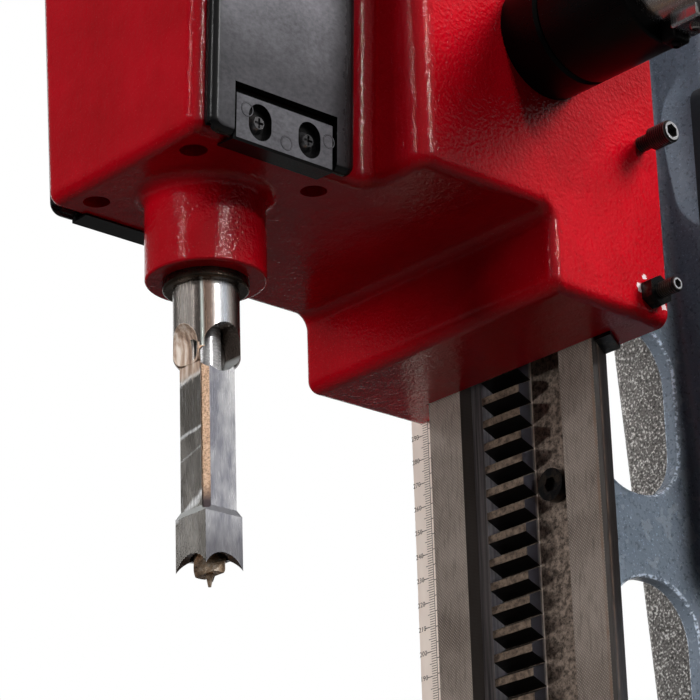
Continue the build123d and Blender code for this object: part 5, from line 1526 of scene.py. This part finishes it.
@dataclass
class FeedLever(Assembly):
    """Pinion shaft, spring collar, sleeve, hub and lever, with the index lug under the sleeve."""

    lug_low: Point = (129.4, -46.0, 42.6)
    lug_high: Point = (136.4, -38.0, 52.0)
    clamp_low: Point = (136.2, -49.0, 45.0)
    clamp_high: Point = (150.0, -37.0, 52.0)
    bevel: float = 1.0 * MM
    socket: tuple[Span, ...] = ((-1.0, 1.9), (0.9, 1.9), (1.3, 1.5), (1.3, 1.0), (0.2, 0.9))
    socket_sides: int = 24

    def block_with_screw(self, name: str, low: Point, high: Point, material: Material, slot: str) -> None:
        """Hangs a small block under the hub, with a socket screw in its underside.

        Args:
            name: Name of the piece.
            low: Lowest corner.
            high: Highest corner.
            material: Finish.
            slot: Not used.
        """
        craft = Craft(name)
        craft.block(at(*low), at(*high), self.bevel)
        middle = at((low[0] + high[0]) / 2, (low[1] + high[1]) / 2, low[2])
        craft.turned([(height * MM, radius * MM) for height, radius in self.socket],
                     facing_place(middle, (0, 0, -1), (0, 1, 0)), self.socket_sides)
        craft.done(material, "lever")

    def build(self, shop: Shop) -> None:
        """Hangs the lug and its clamp below the hub."""
        self.block_with_screw("lever_lug", self.lug_low, self.lug_high, shop.gloss, "gloss_black")
        self.block_with_screw("lever_clamp", self.clamp_low, self.clamp_high, shop.steel, "steel")

    def dress(self, shop: Shop) -> None:
        """Dresses the shaft and lever.

        Args:
            shop: Finishes of the machine.
        """
        dress(shop.gloss, "spring_collar", "lever_sleeve", "lever_grip")
        dress(shop.steel, "pinion", "pinion_shaft", "lever_hub", "lever_arm", "shaft_end_cap")
        dress(shop.oxide, "lever_bolt")


@dataclass
class Motor(Assembly):
    """Motor with its cowl and terminal box."""

    def dress(self, shop: Shop) -> None:
        """Dresses the motor's solids."""
        dress(shop.grey, "motor_body")
        dress(shop.box, "motor_cowl", "terminal_box")


@dataclass
class ControlBox(Assembly):
    """Switch box with its two marked buttons."""

    mark_rise: float = 0.12 * MM
    bar_half: Span = (1.0 * MM, 4.2 * MM)
    ring_radius: float = 3.9 * MM
    ring_width: float = 1.6 * MM

    def build(self, shop: Shop) -> None:
        """Prints a bar on the start button and a ring on the stop button.

        Args:
            shop: Finishes of the machine.
        """
        for name, bar in (("start_button", True), ("stop_button", False)):
            low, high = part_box(name)
            middle = (low + high) / 2
            craft = Craft(name + "_mark")
            if bar:
                across, up = self.bar_half
                craft.block((middle.x - across, low.y - self.mark_rise, middle.z - up),
                            (middle.x + across, low.y + self.mark_rise, middle.z + up), self.mark_rise / 2)
            else:
                place = facing_place((middle.x, low.y, middle.z), (0, -1, 0), (0, 0, 1))
                craft.ring(place, self.ring_radius, self.ring_width, self.mark_rise)
            craft.done(shop.mark, name)

    def dress(self, shop: Shop) -> None:
        """Dresses the box and its buttons.

        Args:
            shop: Finishes of the machine.
        """
        dress(shop.box, "control_box", "box_lid", "inlet_gland")
        dress(shop.go, "start_button")
        dress(shop.halt, "stop_button")


@dataclass
class WorkTable(Assembly):
    """Cross table with fence, clamp and the three hand wheels."""

    grip_length: float = 44.0 * MM
    hub_behind: float = 68.0 * MM
    rim_width: float = 15.0 * MM
    wheels: tuple[tuple[str, Axis, float], ...] = (("cross_screw", Axis.Y, -1.0),
                                                   ("clamp_screw", Axis.Y, -1.0),
                                                   ("long_screw", Axis.X, 1.0))

    def wheel(self, name: str, axis: Axis, sign: float) -> Material:
        """Gives the finish of one hand wheel.

        Args:
            name: CAD node of the wheel.
            axis: Axis of its screw.
            sign: Side that its grip points to.

        Returns:
            The material.
        """
        low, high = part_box(name)
        end = max(sign * getattr(corner, axis.value.lower()) for corner in (low, high))
        rim_inner = (high.z - low.z) / 2 - self.rim_width
        return WheelFinish(name + "_finish", axis, (low + high) / 2, end - self.grip_length,
                           end - self.hub_behind, rim_inner, sign).material()

    def dress(self, shop: Shop) -> None:
        """Dresses the table and its wheels.

        Args:
            shop: Finishes of the machine.
        """
        dress(shop.iron, "table", "saddle", "fence")
        dress(shop.grey, "clamp_post")
        dress(shop.wood, "fence_facing", "clamp_pad")
        dress(shop.oxide, "fence_bolts")
        for name, axis, sign in self.wheels:
            dress(self.wheel(name, axis, sign), name)


@dataclass(frozen=True)
class Lamp:
    """One soft square lamp that lights the whole machine, or only some of its nodes."""

    name: str
    place: Point
    size: float
    power: float
    mirrored: bool = True
    lit: tuple[str, ...] = ()
    spared: tuple[str, ...] = ()
    beam: float = 180.0

    def linked(self) -> bpy.types.Collection:
        """Gives the nodes that alone are lit, or that alone are spared.

        Returns:
            Collection for the lamp's light linking.
        """
        group = bpy.data.collections.new(self.name + "_nodes")
        for node in (*self.lit, *self.spared):
            group.objects.link(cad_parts[node])
        for entry in group.collection_objects:
            entry.light_linking.link_state = "EXCLUDE" if self.spared else "INCLUDE"
        return group

    def hang(self, aim: Vector) -> None:
        """Hangs the lamp.

        Args:
            aim: Place that it points at.
        """
        data = bpy.data.lights.new(self.name, "AREA")
        data.size = self.size
        data.energy = self.power
        data.spread = math.radians(self.beam)
        lamp = bpy.data.objects.new(self.name, data)
        lamp.location = self.place
        lamp.rotation_euler = (aim - Vector(self.place)).to_track_quat("-Z", "Y").to_euler()
        lamp.visible_glossy = self.mirrored
        if self.lit or self.spared:
            lamp.light_linking.receiver_collection = self.linked()
        bpy.context.scene.collection.objects.link(lamp)


@dataclass
class Studio:
    """Camera, floor, lamps and surroundings."""

    focal_pixels: float = 3020.6
    picture_pixels: float = 700.0
    sensor: float = 36.0
    clip_start: float = 0.01
    camera_place: Point = (761.83, -778.80, -447.11)
    camera_right: Point = (0.66629, 0.74515, -0.02867)
    camera_up: Point = (0.28981, -0.22334, 0.93066)
    view: Point = (-0.68708, 0.62839, 0.36476)
    view_edge: Span = (0.8, 0.95)
    side: Point = (0.75, 0.45, 0.45)
    side_edge: Span = (-0.2, 0.7)
    side_glow: Span = (0.12, 0.36)
    ambient: float = 0.1
    floor_size: float = 30.0
    floor_glow: float = 0.56
    floor_fade: Span = (1.2, 6.0)
    floor_mirrored: float = 0.45
    web_middle: Point = (0.0, 60.0, -150.0)
    lamps: tuple[Lamp, ...] = (
        Lamp("right_softbox", (1.36, 1.1, UNDERSIDE + 1.32), 0.9, 66.0, mirrored=False),
        Lamp("key_lamp", (1.55, -0.17, UNDERSIDE + 0.68), 0.12, 4.6),
        Lamp("front_key", (0.17, -1.55, UNDERSIDE + 0.68), 0.1, 1.6),
        Lamp("top_softbox", (-0.2, -0.3, 3.4), 1.4, 10.0),
        Lamp("front_softbox", (-0.5, -1.85, UNDERSIDE + 0.35), 0.8, 17.5, mirrored=False,
             spared=COLUMN_NODES),
        Lamp("column_right", (1.6, -0.5, UNDERSIDE - 0.3), 0.5, 0.8, mirrored=False, lit=COLUMN_NODES,
             beam=NARROW_BEAM),
        Lamp("column_left", (-1.3, -0.87, UNDERSIDE - 0.03), 0.12, 15.0, mirrored=False, lit=COLUMN_NODES),
        Lamp("column_high", (-1.05, -0.87, UNDERSIDE + 0.53), 0.3, 7.5, mirrored=False, lit=COLUMN_NODES),
        Lamp("chisel_key", (1.1, -1.6, UNDERSIDE + 0.1), 0.5, 1.7, mirrored=False, lit=("chisel",),
             beam=NARROW_BEAM))

    def camera(self) -> None:
        """Places the camera at the photograph's viewpoint, measured from the ways and the head."""
        data = bpy.data.cameras.new("camera")
        data.sensor_width = self.sensor
        data.lens = self.focal_pixels / self.picture_pixels * self.sensor
        data.clip_start = self.clip_start
        camera = bpy.data.objects.new("camera", data)
        right = Vector(self.camera_right).normalized()
        up = Vector(self.camera_up)
        up = (up - right * up.dot(right)).normalized()
        place = Matrix((right, up, right.cross(up))).transposed().to_4x4()
        place.translation = at(*self.camera_place)
        camera.matrix_world = place
        bpy.context.scene.collection.objects.link(camera)
        bpy.context.scene.camera = camera

    def floor(self) -> None:
        """Lays the plain pale floor, which fades to white far off."""
        mesh = bpy.data.meshes.new("floor")
        half = self.floor_size / 2
        corners = [(-half, -half, 0), (half, -half, 0), (half, half, 0), (-half, half, 0)]
        mesh.from_pydata(corners, [], [(0, 1, 2, 3)])
        floor = bpy.data.objects.new("floor", mesh)
        bpy.context.scene.collection.objects.link(floor)
        shader = Shader("pale_floor")
        pale = shader.tone(shader.noise(3.0, 3.0), (0.3, 0.7), srgb(146, 146, 146), srgb(152, 152, 152))
        seen = shader.seen()
        far = shader.spread(shader.reach((0, 0, 0)), *self.floor_fade)
        glow = shader.both(seen, shader.spread(far, 0.0, 1.0, self.floor_glow, 1.0))
        pale = shader.mix(far, pale, srgb(0, 0, 0))
        mirrored = shader.calc(Calc.MULTIPLY, shader.mirrored(), self.floor_mirrored)
        shown = shader.calc(Calc.MAXIMUM, seen, mirrored)
        colour = shader.mix(shown, srgb(46, 46, 46), pale)
        mesh.materials.append(shader.finish(base_color=colour, roughness=0.6, emission_color=(1, 1, 1, 1),
                                            emission_strength=glow))

    def surroundings(self) -> None:
        """Makes the room: white to camera and clear rays, dimmer in mirrors, faint to the rest."""
        world = bpy.data.worlds.new("room")
        bpy.context.scene.world = world
        world.use_nodes = True
        room = Graph(world.node_tree)

        def slope(direction: Point, edge: Span, glow: Span) -> Socket:
            """Gives a strength that rises along a direction of the room.

            Args:
                direction: Direction that it rises to.
                edge: Where it starts and stops rising.
                glow: Strength before and after.

            Returns:
                Value socket.
            """
            inputs = {0: room.coords["Generated"], 1: direction}
            along = room.make("VectorMath", inputs, operation="DOT_PRODUCT").outputs["Value"]
            return room.spread(along, *edge, *glow, Curve.SOFT)

        backdrop = slope(self.view, self.view_edge, (0.0, 1.0))
        glow = room.calc(Calc.MAXIMUM, backdrop, slope(self.side, self.side_edge, self.side_glow))
        unseen = room.blend(room.mirrored(), self.ambient, glow)
        background = world.node_tree.nodes["Background"]
        room.feed(background.inputs["Strength"], room.blend(room.seen(), unseen, 1.0))
        room.feed(background.inputs["Color"], (1, 1, 1, 1))

    def build(self) -> None:
        """Sets up the studio; lamps for single nodes point at the web, the others at the head."""
        bpy.context.scene.view_settings.view_transform = "Standard"
        self.camera()
        self.floor()
        self.surroundings()
        for lamp in self.lamps:
            lamp.hang(at(*self.web_middle) if lamp.lit else Vector((0.0, 0.0, UNDERSIDE)))


def main() -> None:
    """Builds the studio and every sub-assembly, in order."""
    logging.basicConfig(level=logging.INFO, format="%(name)s: %(message)s")
    shop = Shop()
    Studio().build()
    assemblies = (Frame(), DepthScale(), Head(), ChuckCover(Side.RIGHT), ChuckCover(Side.LEFT), ChiselSet(),
                  FeedLever(), Motor(), ControlBox(), WorkTable())
    for assembly in assemblies:
        assembly.dress(shop)
        assembly.build(shop)


if __name__ == "__main__":
    main()
